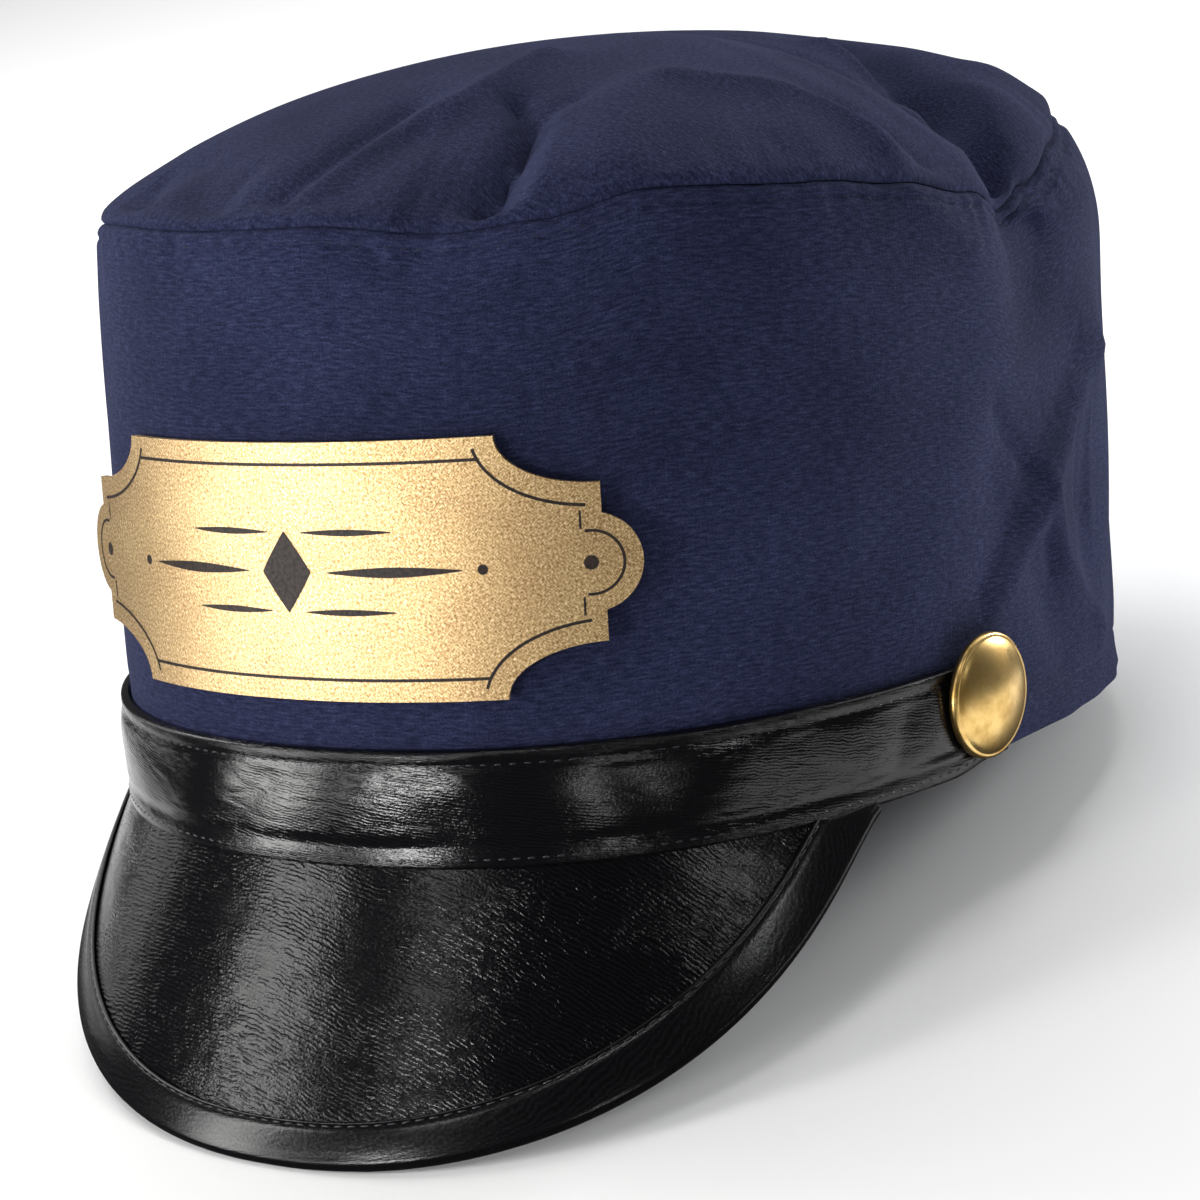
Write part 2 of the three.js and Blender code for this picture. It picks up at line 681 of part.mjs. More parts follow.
const peakOutline = flatSection(
  peakSection(-peakHalfAngle),
  outwardAt(-peakHalfAngle),
  ovalPoint(-peakHalfAngle, 0, 0),
);
const bindingOutline = bindingShape.map((corner) =>
  new THREE.Vector2(-corner.leg * bindingWidth - corner.past, corner.rise));
const strapOutline = strapShape.map((corner) => new THREE.Vector2(corner.out, corner.height));

const wallBody = bodyFrom(aroundAngles.map(wallSection), true, true, null);
const topBody = bodyFrom(aroundAngles.map(topSection), false, true, null);
const peakRowsSwept = sweepAngles(peakHalfAngle, peakSteps).map(peakSection);
const bindingRowsSwept = sweepAngles(peakHalfAngle, bindingSteps).map(bindingSection);
const strapRowsSwept = sweepAngles(strapEndAngle, strapSteps).map(strapSection);

// Leaning back: the lowest corner of the peak's edge and the rear hem touch the same level.
const rearHem = wallPoint(180, 0, 0);
const restTilt = Math.max(...bindingSection(0).map((corner) =>
  Math.atan2(rearHem.z - corner.z, rearHem.y - corner.y)));

function stand(geometry) {
  geometry.rotateX(-restTilt);
  return geometry;
}

const vinyl = { color: 0x0b0b0d, roughness: 0.32, metalness: 0 };
const cloth = { color: 0x23254a, roughness: 0.95, metalness: 0 };
const gold = { color: 0xb98a3c, roughness: 0.38, metalness: 0.9 };

const pieces = [
  ['crown_side', withShankHoles(wallBody), cloth],
  ['crown_top', topBody, cloth],
  ['peak', bodyFrom(peakRowsSwept, true, false, peakOutline), vinyl],
  ['peak_binding', bodyFrom(bindingRowsSwept, true, false, bindingOutline), vinyl],
  ['strap', withShankHoles(bodyFrom(strapRowsSwept, true, false, strapOutline)), vinyl],
  ['button_left', makeButton(1), gold],
  ['button_right', makeButton(-1), gold],
  ['badge', makeBadge(), gold],
];

const bounds = new THREE.Box3();
pieces.forEach(([, geometry]) => {
  stand(geometry).computeBoundingBox();
  bounds.union(geometry.boundingBox);
});
const middle = bounds.getCenter(new THREE.Vector3());
const floor = bounds.min.z + restSink;

// Hem and peak edge are pressed flat where they touch the level they rest on.
const cap = new THREE.Group();
cap.name = 'conductor_cap';
pieces.forEach(([name, geometry, look]) => {
  geometry.translate(-middle.x, -middle.y, -floor);
  const position = geometry.attributes.position;
  for (let index = 0; index < position.count; index += 1) {
    position.setZ(index, Math.max(0, position.getZ(index)));
  }
  geometry.computeVertexNormals();
  const mesh = new THREE.Mesh(geometry, new THREE.MeshStandardMaterial(look));
  mesh.name = name;
  cap.add(mesh);
});

export default cap;
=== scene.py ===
import math
import bpy
import numpy as np
from mathutils import Matrix, Vector


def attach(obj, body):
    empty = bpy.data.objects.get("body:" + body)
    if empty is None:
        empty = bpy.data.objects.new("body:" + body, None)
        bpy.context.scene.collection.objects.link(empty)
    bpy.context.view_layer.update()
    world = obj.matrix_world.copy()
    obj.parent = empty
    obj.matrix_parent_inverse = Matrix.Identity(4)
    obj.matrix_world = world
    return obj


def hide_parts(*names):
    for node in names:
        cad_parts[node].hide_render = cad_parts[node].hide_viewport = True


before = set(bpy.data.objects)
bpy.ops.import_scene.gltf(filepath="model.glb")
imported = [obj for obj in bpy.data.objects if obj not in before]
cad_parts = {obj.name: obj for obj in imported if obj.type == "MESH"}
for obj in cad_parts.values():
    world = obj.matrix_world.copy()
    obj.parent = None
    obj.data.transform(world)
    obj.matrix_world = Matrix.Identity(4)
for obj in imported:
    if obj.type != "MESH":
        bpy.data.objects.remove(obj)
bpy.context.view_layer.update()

# Sizes of the cap in millimetres and degrees, as in the part's source.
FRONT_REACH, BACK_REACH, HALF_WIDTH, OVAL_POWER = 107.0, 94.0, 83.0, 2.2
CROWN_HEIGHT, WALL_THICKNESS, BACKWARD_LEAN, OUTWARD_TAPER = 100.0, 2.2, 0.039, 0.0075
HEM_WAVE, HEM_WAVE_FADE, HEM_FLARE, HEM_FLARE_HEIGHT, SHOULDER_POWER = 0.75, 60.0, 1.2, 6.0, 7.0
SEAM_CLEARANCE, DOME_RISE, DOME_POWER, WALL_FOLD_WIDTH = 0.3, 24.0, 0.75, 9.0
PEAK_HALF_ANGLE, PEAK_LENGTH, PEAK_END_LENGTH, PEAK_SLOPE = 52.3, 46.5, 0.8, 66.8
PEAK_TAIL_SHARE, PEAK_TAIL_POWER = 0.094, 14
PEAK_CAMBER, PEAK_CURVE_POWER, PEAK_THICKNESS, PEAK_ROOT_OUT = 0.5, 2.18, 1.4, 1.0
FLANGE_HEIGHT, CLEARANCE = 8.0, 0.3
BINDING_WIDTH, BINDING_FRONT_WIDTH, BINDING_THICKNESS = 7.6, 5.8, 0.55
BINDING_WRAP, BINDING_START = 1.3, 0.0
STRAP_HEIGHT, STRAP_THICKNESS, STRAP_END_ANGLE = 17.5, 1.7, 73.5
BUTTON_ANGLE, BUTTON_HEIGHT, BUTTON_RADIUS, BUTTON_DOME, SHANK_RADIUS = 68.6, 11.5, 10.5, 4.4, 1.9
BADGE_HEIGHT, BADGE_HALF_HEIGHT, BADGE_LEDGE_HALF, BADGE_CORNER_REACH = 45.3, 20.1, 51.0, 15.3
BADGE_LEDGE_HEIGHT, BADGE_EAR_RADIUS, BADGE_EAR_INSET = 12.1, 7.6, 1.9
BADGE_THICKNESS, BADGE_GAP, BADGE_END_GAP = 1.2, 0.4, 2.6
MEAN_RADIUS = (FRONT_REACH + BACK_REACH + 2 * HALF_WIDTH) / 4
REST_TILT, REST_SHIFT_Y, REST_SHIFT_Z = 0.200998754, 11.5431, 19.0414

SEAM_PATH = np.array([
    # angle, height share, inward pull share
    (-180, 1.02, 0.08), (-120, 0.99, 0.06), (-60, 0.975, 0.03), (-24, 0.99, 0.01),
    (-8, 0.98, 0.01), (3, 0.98, 0.01), (16, 0.956, 0.01), (24, 0.968, 0.01),
    (33, 1.0, 0.01), (50, 0.985, 0.012), (60, 0.968, 0.015), (73, 0.937, 0.018),
    (86, 0.892, 0.03), (93, 0.927, 0.055), (106, 0.985, 0.076), (124, 1.04, 0.088),
    (150, 1.035, 0.086), (180, 1.02, 0.08),
])

# Folds as lines through (angle, share) points; then depth and width in millimetres, negative
# for a ridge, and how sharp the fold is: 2 is soft, 1 is a crease.
WALL_FOLDS = [
    ([(11, 0.9), (9, 0.86)], 0.8, 7.2, 2),
    ([(16, 0.93), (14, 0.9)], 1.0, 7.2, 2),
    ([(8.2, 0.965), (9.2, 0.937), (10, 0.912)], 1.1, 1.5, 1.2),
    ([(12.5, 0.96), (12.9, 0.93), (12.4, 0.91)], 1.2, 1.5, 1.2),
    ([(14.8, 0.96), (13.8, 0.93)], 1.1, 1.5, 1.2),
    ([(5.5, 0.97), (6.5, 0.94)], 0.7, 1.6, 1.4),
    ([(86, 0.88), (87, 0.78)], 2.3, 10.8, 2),
    ([(96, 0.66), (76, 0.46)], 1.3, 7.2, 2),
    ([(82, 0.3), (92, 0.12)], 1.3, 6.3, 2),
    ([(103, 0.58), (101, 0.28)], 1.0, 5.4, 2),
    ([(104, 0.93), (124, 0.9)], -1.8, 13.5, 2),
    ([(140, 0.84), (152, 0.5)], 1.3, 8.1, 2),
    ([(170, 0.9), (178, 0.62)], 1.0, 8.1, 2),
    ([(-152, 0.88), (-140, 0.52)], 1.3, 9.0, 2),
    ([(-112, 0.8), (-98, 0.36)], 1.3, 8.1, 2),
    ([(-92, 0.62), (-108, 0.2)], 1.0, 7.2, 2),
    ([(-66, 0.93), (-70, 0.74)], 1.0, 7.2, 2),
    ([(107, 0.62), (100, 0.56), (87.6, 0.43), (79.5, 0.31), (73, 0.25)], -2.4, 6.0, 1.1),
    ([(76, 0.57), (85.3, 0.43)], 1.3, 3.0, 1.2),
    ([(100, 0.62), (84, 0.46), (76, 0.35), (71, 0.28)], 1.6, 4.5, 1.3),
    ([(86, 0.33), (88.5, 0.27)], 1.1, 2.2, 1.2),
    ([(86, 0.42), (92, 0.27), (104.7, 0.12)], -1.8, 4.5, 1.2),
    ([(102.8, 0.52), (103.9, 0.32)], -0.8, 2.8, 1.3),
    ([(97, 0.5), (98, 0.36)], 0.8, 2.8, 1.3),
    ([(61, 0.98), (65, 0.92), (72, 0.84)], -1.0, 4.2, 1.5),
    ([(84, 0.875), (91, 0.87)], 1.8, 3.2, 1.3),
    ([(-0.4, 0.743), (2.2, 0.75), (5.1, 0.739)], 0.22, 0.7, 1.6),
    ([(-32, 0.97), (-30, 0.9)], 0.5, 2.6, 1.6),
    ([(90, 0.885), (97, 0.87), (108, 0.9)], -1.6, 4.5, 1.3),
    ([(-128, 0.95), (-132, 0.84)], 0.7, 3.4, 1.6),
    ([(-80, 0.95), (-78, 0.86)], 0.6, 3.0, 1.6),
    ([(128, 0.95), (131, 0.84)], 0.7, 3.4, 1.6),
    ([(158, 0.97), (161, 0.88)], 0.6, 3.2, 1.6),
]
TOP_FOLDS = [
    ([(3, 0.97), (6.5, 0.79)], 2.4, 6.0, 2),
    ([(19.5, 0.97), (21.5, 0.8)], 2.4, 5.5, 2),
    ([(28, 0.93), (30, 0.76)], -1.4, 8.0, 2),
    ([(-10, 0.97), (-14, 0.88)], 1.6, 5.0, 2),
    ([(-23, 0.96), (-20, 0.86)], 1.6, 5.0, 2),
    ([(122, 0.5), (97, 0.7)], 3.2, 9.0, 2),
    ([(97, 0.7), (87, 0.93)], 4.0, 8.0, 2),
    ([(96, 0.9), (116, 0.86)], -2.4, 8.0, 2),
    ([(146, 0.95), (150, 0.74)], 2.0, 8.0, 2),
    ([(176, 0.96), (168, 0.76)], 2.4, 8.0, 2),
    ([(-150, 0.96), (-146, 0.74)], 2.2, 8.0, 2),
    ([(-116, 0.96), (-110, 0.72)], 2.4, 9.0, 2),
    ([(-84, 0.95), (-92, 0.76)], 2.0, 8.0, 2),
    ([(-52, 0.96), (-46, 0.78)], 2.0, 7.0, 2),
    ([(1.8, 0.95), (3.2, 0.87), (5.2, 0.78), (10.6, 0.68), (14, 0.54), (17, 0.46)], -2.7, 4.4, 1.2),
    ([(-1, 0.94), (0.4, 0.86), (1.2, 0.76), (2.4, 0.66)], 2.9, 3.0, 1.2),
    ([(18.6, 0.985), (19.6, 0.89), (20.6, 0.8), (20.4, 0.73), (17.4, 0.66)], 3.8, 2.0, 1.0),
    ([(20.4, 0.73), (23.5, 0.7), (26, 0.69)], 1.4, 2.0, 1.2),
    ([(23.4, 0.98), (23.8, 0.88), (24.2, 0.78)], -1.7, 3.0, 1.3),
    ([(-19.9, 0.96), (-23.3, 0.92), (-24.5, 0.88)], 1.2, 2.4, 1.3),
    ([(-6.9, 0.98), (-8, 0.94), (-8.6, 0.88)], 1.3, 2.6, 1.3),
    ([(104, 0.5), (101, 0.56), (95, 0.68), (88, 0.8), (84.5, 0.875), (81, 0.93)], -3.6, 4.6, 1.1),
    ([(124, 0.5), (108, 0.6), (98, 0.74), (92, 0.86), (89, 0.93)], 2.6, 6.5, 1.6),
    ([(38, 0.68), (45, 0.71), (54.4, 0.77), (59, 0.85), (61, 0.92), (61, 0.98)], -2.4, 4.2, 1.2),
    ([(62, 0.78), (65, 0.88), (66.5, 0.97)], 2.2, 3.2, 1.2),
    ([(35, 0.97), (38, 0.9)], 0.5, 2.4, 1.6),
    ([(48, 0.97), (47, 0.92)], 0.5, 2.2, 1.6),
    ([(-40, 0.97), (-37, 0.88)], 0.7, 2.8, 1.5),
    ([(-100, 0.97), (-98, 0.86)], 0.7, 2.8, 1.5),
    ([(134, 0.97), (137, 0.84)], 0.8, 3.0, 1.5),
    ([(-168, 0.97), (-166, 0.82)], 0.8, 3.0, 1.5),
]

# Fine relief of the sewn cloth, in millimetres.
STITCH_DROP, STITCH_GROOVE, GAPE_GROOVE, HEM_STITCH_HEIGHT, HEM_GROOVE = 2.5, 0.42, 0.5, 6.4, 0.3
SEAM_ROLL, TOP_ROLL, PUCKER_DEPTH, PUCKER_REACH, SOFT_WAVE = 2.3, 1.3, 0.34, 5.5, 0.26
HEM_RIPPLE, HEM_RIPPLE_REACH, TOP_PUCKER_DEPTH, TOP_PUCKER_REACH, TOP_SOFT_WAVE = 0.5, 7, 0.36, 9, 0.3


def smooth_step(start, end, value):
    share = np.clip((value - start) / (end - start), 0, 1)
    return share * share * (3 - 2 * share)


def fade(distance, width, power=2):
    return np.exp(-(distance / width) ** power)


def unit(vectors):
    return vectors / np.linalg.norm(vectors, axis=-1, keepdims=True)


def round_over(roll):
    return 1 - np.sqrt(np.clip(1 - roll ** 2, 0, 1))


def seam_at(angle):
    """Height and inward pull of the top seam."""
    wrapped = (angle + 180) % 360 - 180
    row = np.clip(np.searchsorted(SEAM_PATH[:, 0], wrapped) - 1, 0, len(SEAM_PATH) - 2)
    low, high = SEAM_PATH[row], SEAM_PATH[row + 1]
    share = smooth_step(0, 1, (wrapped - low[..., 0]) / (high[..., 0] - low[..., 0]))
    return tuple(CROWN_HEIGHT * (low[..., at] + (high[..., at] - low[..., at]) * share) for at in (1, 2))


def oval_normal(x, y, across, along):
    normal = np.stack([
        np.sign(x) * (np.abs(x) / across) ** (OVAL_POWER - 1) / across,
        np.sign(y) * (np.abs(y) / along) ** (OVAL_POWER - 1) / along,
        np.zeros_like(x),
    ], axis=-1)
    return normal / np.linalg.norm(normal, axis=-1, keepdims=True)


def oval_point(angle, height, out):
    """A place on the upright oval of the wall, moved outwards by out."""
    angle, height, out = np.broadcast_arrays(*(np.asarray(v, float) for v in (angle, height, out)))
    side, ahead = np.sin(np.radians(angle)), np.cos(np.radians(angle))
    across = HALF_WIDTH + OUTWARD_TAPER * height
    along = np.where(ahead > 0, FRONT_REACH, BACK_REACH) + OUTWARD_TAPER * height
    reach = (np.abs(side) / across) ** OVAL_POWER + (np.abs(ahead) / along) ** OVAL_POWER
    radius = reach ** (-1 / OVAL_POWER)
    x, y = radius * side, -radius * ahead
    normal = oval_normal(x, y, across, along)
    wave = HEM_WAVE * np.cos(2 * np.radians(angle)) * np.exp(-height / HEM_WAVE_FADE)
    plain = np.stack([x, y + BACKWARD_LEAN * height, height - wave], axis=-1)
    return plain + out[..., None] * normal


def outward_at(angle):
    """Unit vectors that point away from the wall."""
    return unit(oval_point(angle, 0, 1) - oval_point(angle, 0, 0))


def plan_point(angle, ring):
    """A place on the crown's top as seen from above."""
    turn = np.radians(angle)
    return np.stack([np.sin(turn), -np.cos(turn)], -1) * (ring * MEAN_RADIUS)[..., None]


def unrolled(angle, height):
    """A place on the wall as if it were laid out flat."""
    return np.stack([np.radians(angle) * MEAN_RADIUS, height], axis=-1)


def fold_sum(folds, spots, to_flat):
    """How deep all the folds of a table press in at each spot."""
    total = np.zeros(spots.shape[:-1])
    for line, depth, width, sharp in folds:
        points = to_flat(np.array(line, float))
        nearest = np.full(total.shape, 1e9)
        for start, end in zip(points[:-1], points[1:]):
            along = end - start
            share = np.clip(((spots - start) @ along) / (along @ along), 0, 1)
            gap = np.linalg.norm(spots - start - share[..., None] * along, axis=-1)
            nearest = np.minimum(nearest, gap)
        total += depth * fade(nearest, width, sharp)
    return total


def wall_fold(angle, height):
    guard = 1 - smooth_step(STRAP_END_ANGLE + 4, STRAP_END_ANGLE + 14, np.abs(angle))
    clear = smooth_step(STRAP_HEIGHT, STRAP_HEIGHT + WALL_FOLD_WIDTH, height)
    strength = 1 - guard * (1 - clear)
    flat = lambda line: unrolled(line[:, 0], line[:, 1] * CROWN_HEIGHT)
    return strength * fold_sum(WALL_FOLDS, unrolled(angle, height), flat)


def ripples(angle, seed, count, low, high):
    """Uneven waves round the cap, between -1 and 1."""
    random = np.random.default_rng(seed)
    total = np.zeros_like(np.asarray(angle, float))
    for wave in random.integers(low, high, count):
        total += random.uniform(0.5, 1) * np.sin(np.radians(angle) * wave + random.uniform(0, 6.28))
    return total / (0.75 * math.sqrt(count) * 1.5)


def bare_share(angle, height):
    """1 where the wall is free, 0 behind strap, peak and badge."""
    front = 1 - smooth_step(STRAP_END_ANGLE + 2, STRAP_END_ANGLE + 10, np.abs(angle))
    strap = front * (1 - smooth_step(STRAP_HEIGHT + 0.5, STRAP_HEIGHT + 5, height))
    beside = 1 - smooth_step(31, 37, np.abs(angle))
    badge = beside * (1 - smooth_step(BADGE_HEIGHT + 19, BADGE_HEIGHT + 24, height))
    return (1 - strap) * (1 - badge)


def seam_gape(angle):
    """The seam opens into a deeper groove behind the fallen corner at the wearer's left."""
    return 1 + 0.9 * smooth_step(80, 92, angle) * (1 - smooth_step(118, 140, angle))


def wall_point(angle, share, fine=True):
    """A place on the cloth wall: share is 0 at the hem and 1 at the seam."""
    seam_height, seam_pull = seam_at(angle)
    height = share * seam_height
    pulled = seam_pull * share ** SHOULDER_POWER
    flared = smooth_step(STRAP_END_ANGLE + 4, STRAP_END_ANGLE + 20, np.abs(angle))
    out = flared * HEM_FLARE * np.exp(-height / HEM_FLARE_HEIGHT) - pulled
    out = out - wall_fold(angle, height)
    if fine:
        below = seam_height - height
        bare = bare_share(angle, height)
        pucker = 0.5 + 0.5 * ripples(angle * 0.7 + 40, 5, 6, 6, 22)
        puckers = PUCKER_DEPTH * pucker * ripples(angle + 0.06 * height, 11, 9, 70, 150)
        out = out + bare * puckers * fade(np.maximum(below - STITCH_DROP, 0), PUCKER_REACH, 1.4)
        soft = ripples(angle + 0.25 * height, 21, 6, 5, 17) + ripples(angle - 0.3 * height, 22, 6, 9, 29)
        out = out + SOFT_WAVE * bare * soft * smooth_step(4, 22, below) * smooth_step(2, 14, height)
        groove = STITCH_GROOVE + GAPE_GROOVE * (seam_gape(angle) - 1)
        out = out - groove * fade(below - STITCH_DROP, 0.6)
        roll_reach = SEAM_ROLL * seam_gape(angle)
        roll = np.clip(1 - below / roll_reach, 0, 1)
        out = out - roll_reach * round_over(roll) * 0.8
        out = out - HEM_GROOVE * flared * fade(height - HEM_STITCH_HEIGHT, 0.7)
        hem_wave = HEM_RIPPLE * ripples(angle, 31, 7, 8, 40) * np.exp(-height / HEM_RIPPLE_REACH)
        out = out + flared * hem_wave
    return oval_point(angle, height, out)


CENTRE_LEAN = BACKWARD_LEAN * CROWN_HEIGHT


def top_point(angle, ring):
    """A place on the puffed top: ring is 0 in the middle and 1 at the seam."""
    rim = wall_point(angle, 1, fine=False)
    base = CROWN_HEIGHT + (rim[..., 2] - CROWN_HEIGHT) * ring * ring
    rise = DOME_RISE * np.clip(1 - ring * ring, 0, 1) ** DOME_POWER
    flat = lambda line: plan_point(line[:, 0], line[:, 1])
    spots = plan_point(angle, ring)
    folded = smooth_step(1, 0.95, ring) * fold_sum(TOP_FOLDS, spots, flat)
    inside = (1 - ring) * MEAN_RADIUS
    pucker = 0.5 + 0.5 * ripples(angle * 0.8 + 10, 6, 6, 5, 20)
    puckers = TOP_PUCKER_DEPTH * pucker * ripples(angle, 12, 9, 60, 140) * smooth_step(0, 2.5, inside)
    puckers = puckers * fade(inside, TOP_PUCKER_REACH, 1.3)
    soft = ripples(spots[..., 0] * 1.1 + 0.5 * spots[..., 1], 23, 6, 2, 7)
    soft = soft + ripples(spots[..., 1] * 1.2 - 0.4 * spots[..., 0], 24, 6, 2, 8)
    height = base + SEAM_CLEARANCE + rise - folded + puckers
    height = height + TOP_SOFT_WAVE * soft * smooth_step(4, 16, inside)
    gape = seam_gape(angle)
    roll = np.clip(1 - inside / (TOP_ROLL * gape), 0, 1)
    height = height + 0.1 - 0.5 * roll
    pull = 1 - 1.1 * gape * round_over(roll) / MEAN_RADIUS
    x = ring * rim[..., 0] * pull
    y = CENTRE_LEAN + ring * (rim[..., 1] - CENTRE_LEAN) * pull
    return np.stack([x, y, height], axis=-1)


def peak_point(angle, down, rise):
    """A place on the peak: down runs from its root to its edge, rise is above its face."""
    outward = outward_at(angle)
    root = oval_point(angle, 0, PEAK_ROOT_OUT) - np.array([0, 0, CLEARANCE])
    slope = math.radians(PEAK_SLOPE)
    share = down / PEAK_LENGTH
    bulge = PEAK_CAMBER * 4 * share * (1 - share) + rise
    level = (down * math.cos(slope) + bulge * math.sin(slope))[..., None] * outward
    fall = (-down * math.sin(slope) + bulge * math.cos(slope))[..., None] * np.array([0, 0, 1.0])
    return root + level + fall


def peak_reach(angle):
    """How far the peak's edge lies below its root."""
    share = np.clip(np.abs(angle) / PEAK_HALF_ANGLE, 0, 1)
    tail = PEAK_TAIL_SHARE * (share ** PEAK_CURVE_POWER - share ** PEAK_TAIL_POWER)
    return PEAK_END_LENGTH + (PEAK_LENGTH - PEAK_END_LENGTH) * (1 - share ** PEAK_CURVE_POWER - tail)


ARC_ANGLES = np.arange(0, 60, 0.1)
ARC_POINTS = oval_point(ARC_ANGLES, BADGE_HEIGHT, BADGE_GAP)
ARC_LENGTHS = np.concatenate([[0], np.cumsum(np.linalg.norm(np.diff(ARC_POINTS, axis=0), axis=1))])


def badge_point(arc, rise, out):
    """A place on the badge: arc is measured along its bend, rise above its middle."""
    tip = BADGE_LEDGE_HALF - BADGE_EAR_INSET + BADGE_EAR_RADIUS
    gap = BADGE_GAP + (BADGE_END_GAP - BADGE_GAP) * (np.abs(arc) / tip) ** 4
    angle = np.sign(arc) * np.interp(np.abs(arc), ARC_LENGTHS, ARC_ANGLES)
    return oval_point(angle, BADGE_HEIGHT + rise, gap + out)


def at_rest(points):
    """The cap leans back until it stands on peak and rear hem. Millimetres to metres."""
    lean_cos, lean_sin = math.cos(REST_TILT), math.sin(REST_TILT)
    x, y, z = points[..., 0], points[..., 1], points[..., 2]
    rest_y = y * lean_cos + z * lean_sin + REST_SHIFT_Y
    rest_z = np.maximum(-y * lean_sin + z * lean_cos + REST_SHIFT_Z, 0)
    return np.stack([x, rest_y, rest_z], axis=-1) / 1000


# Camera at the photograph's angle; lens and sensor in millimetres, its place in metres.
SENSOR_WIDTH, LENS = 36, 84.07
camera_data = bpy.data.cameras.new("cap_camera")
camera = bpy.data.objects.new("cap_camera", camera_data)
bpy.context.collection.objects.link(camera)
camera_data.sensor_fit = "HORIZONTAL"
camera_data.sensor_width = SENSOR_WIDTH
camera_data.lens = LENS
camera_data.clip_start = 0.02
camera.matrix_world = Matrix((
    (0.853602, -0.031206, 0.519991, 0.268578),
    (0.489535, 0.389332, -0.780241, -0.402615),
    (-0.178100, 0.920569, 0.347611, 0.223386),
    (0, 0, 0, 1),
))
bpy.context.scene.camera = camera
bpy.context.scene.view_settings.view_transform = "Standard"


# Bench tools: grids, closed sections and small repeated shapes.
def deselect():
    bpy.ops.object.select_all(action="DESELECT")


def make_active(piece):
    deselect()
    piece.select_set(True)
    bpy.context.view_layer.objects.active = piece


def edit(piece):
    """Edit mode with all of the piece selected; leave_edit ends it."""
    make_active(piece)
    bpy.ops.object.mode_set(mode="EDIT")
    bpy.ops.mesh.select_all(action="SELECT")


def leave_edit():
    bpy.ops.object.mode_set(mode="OBJECT")


def named(piece, name):
    piece.name = piece.data.name = name
    return piece


def corners_of(piece):
    corners = np.empty(len(piece.data.vertices) * 3)
    piece.data.vertices.foreach_get("co", corners)
    return corners.reshape(-1, 3)


def move_corners(piece, points):
    piece.data.vertices.foreach_set("co", at_rest(points).ravel())
    piece.data.update()


def shaped_grid(name, columns, rows, place, flat_place):
    """A grid whose corners go where place says; its UV map is in millimetres of cloth."""
    deselect()
    bpy.ops.mesh.primitive_grid_add(x_subdivisions=columns, y_subdivisions=rows, size=2)
    piece = named(bpy.context.object, name)
    u, v = (corners_of(piece)[:, :2].T + 1) / 2
    flat = np.stack(flat_place(u, v), axis=-1)
    loops = np.empty(len(piece.data.loops), dtype=np.int32)
    piece.data.loops.foreach_get("vertex_index", loops)
    piece.data.uv_layers[0].data.foreach_set("uv", flat[loops].ravel())
    move_corners(piece, place(u, v))
    return piece


def weld(piece, fill=False):
    """Joins a grid's meeting edges and, if asked, closes its open ends."""
    edit(piece)
    bpy.ops.mesh.remove_doubles(threshold=0.00002)
    if fill:
        bpy.ops.mesh.fill_holes(sides=0)
        bpy.ops.mesh.select_all(action="SELECT")
    bpy.ops.mesh.normals_make_consistent(inside=False)
    leave_edit()
    return piece


def add_modifier(piece, kind, **settings):
    make_active(piece)
    modifier = piece.modifiers.new(kind.lower(), kind)
    for key, value in settings.items():
        setattr(modifier, key, value)
    bpy.ops.object.modifier_apply(modifier=modifier.name)


def smooth(piece, angle):
    make_active(piece)
    bpy.ops.object.shade_smooth_by_angle(angle=math.radians(angle))


def dress(piece, finish, slot, *nodes):
    piece.data.materials.clear()
    piece.data.materials.append(finish)
    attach(piece, "root")
    if nodes:
        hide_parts(*nodes)


def swept_section(name, angles, section, flat_along):
    """A closed section carried round the front of the cap, with its ends filled."""
    count = section(np.array([0.0])).shape[1]

    def place(u, v):
        at = np.interp(u, np.linspace(0, 1, len(angles)), angles)
        columns = np.unique(at)
        rings = section(columns)
        column = np.searchsorted(columns, at)
        corner = np.round(v * count).astype(int) % count
        return rings[column, corner]

    return weld(shaped_grid(name, len(angles) - 1, count, place, flat_along), fill=True)


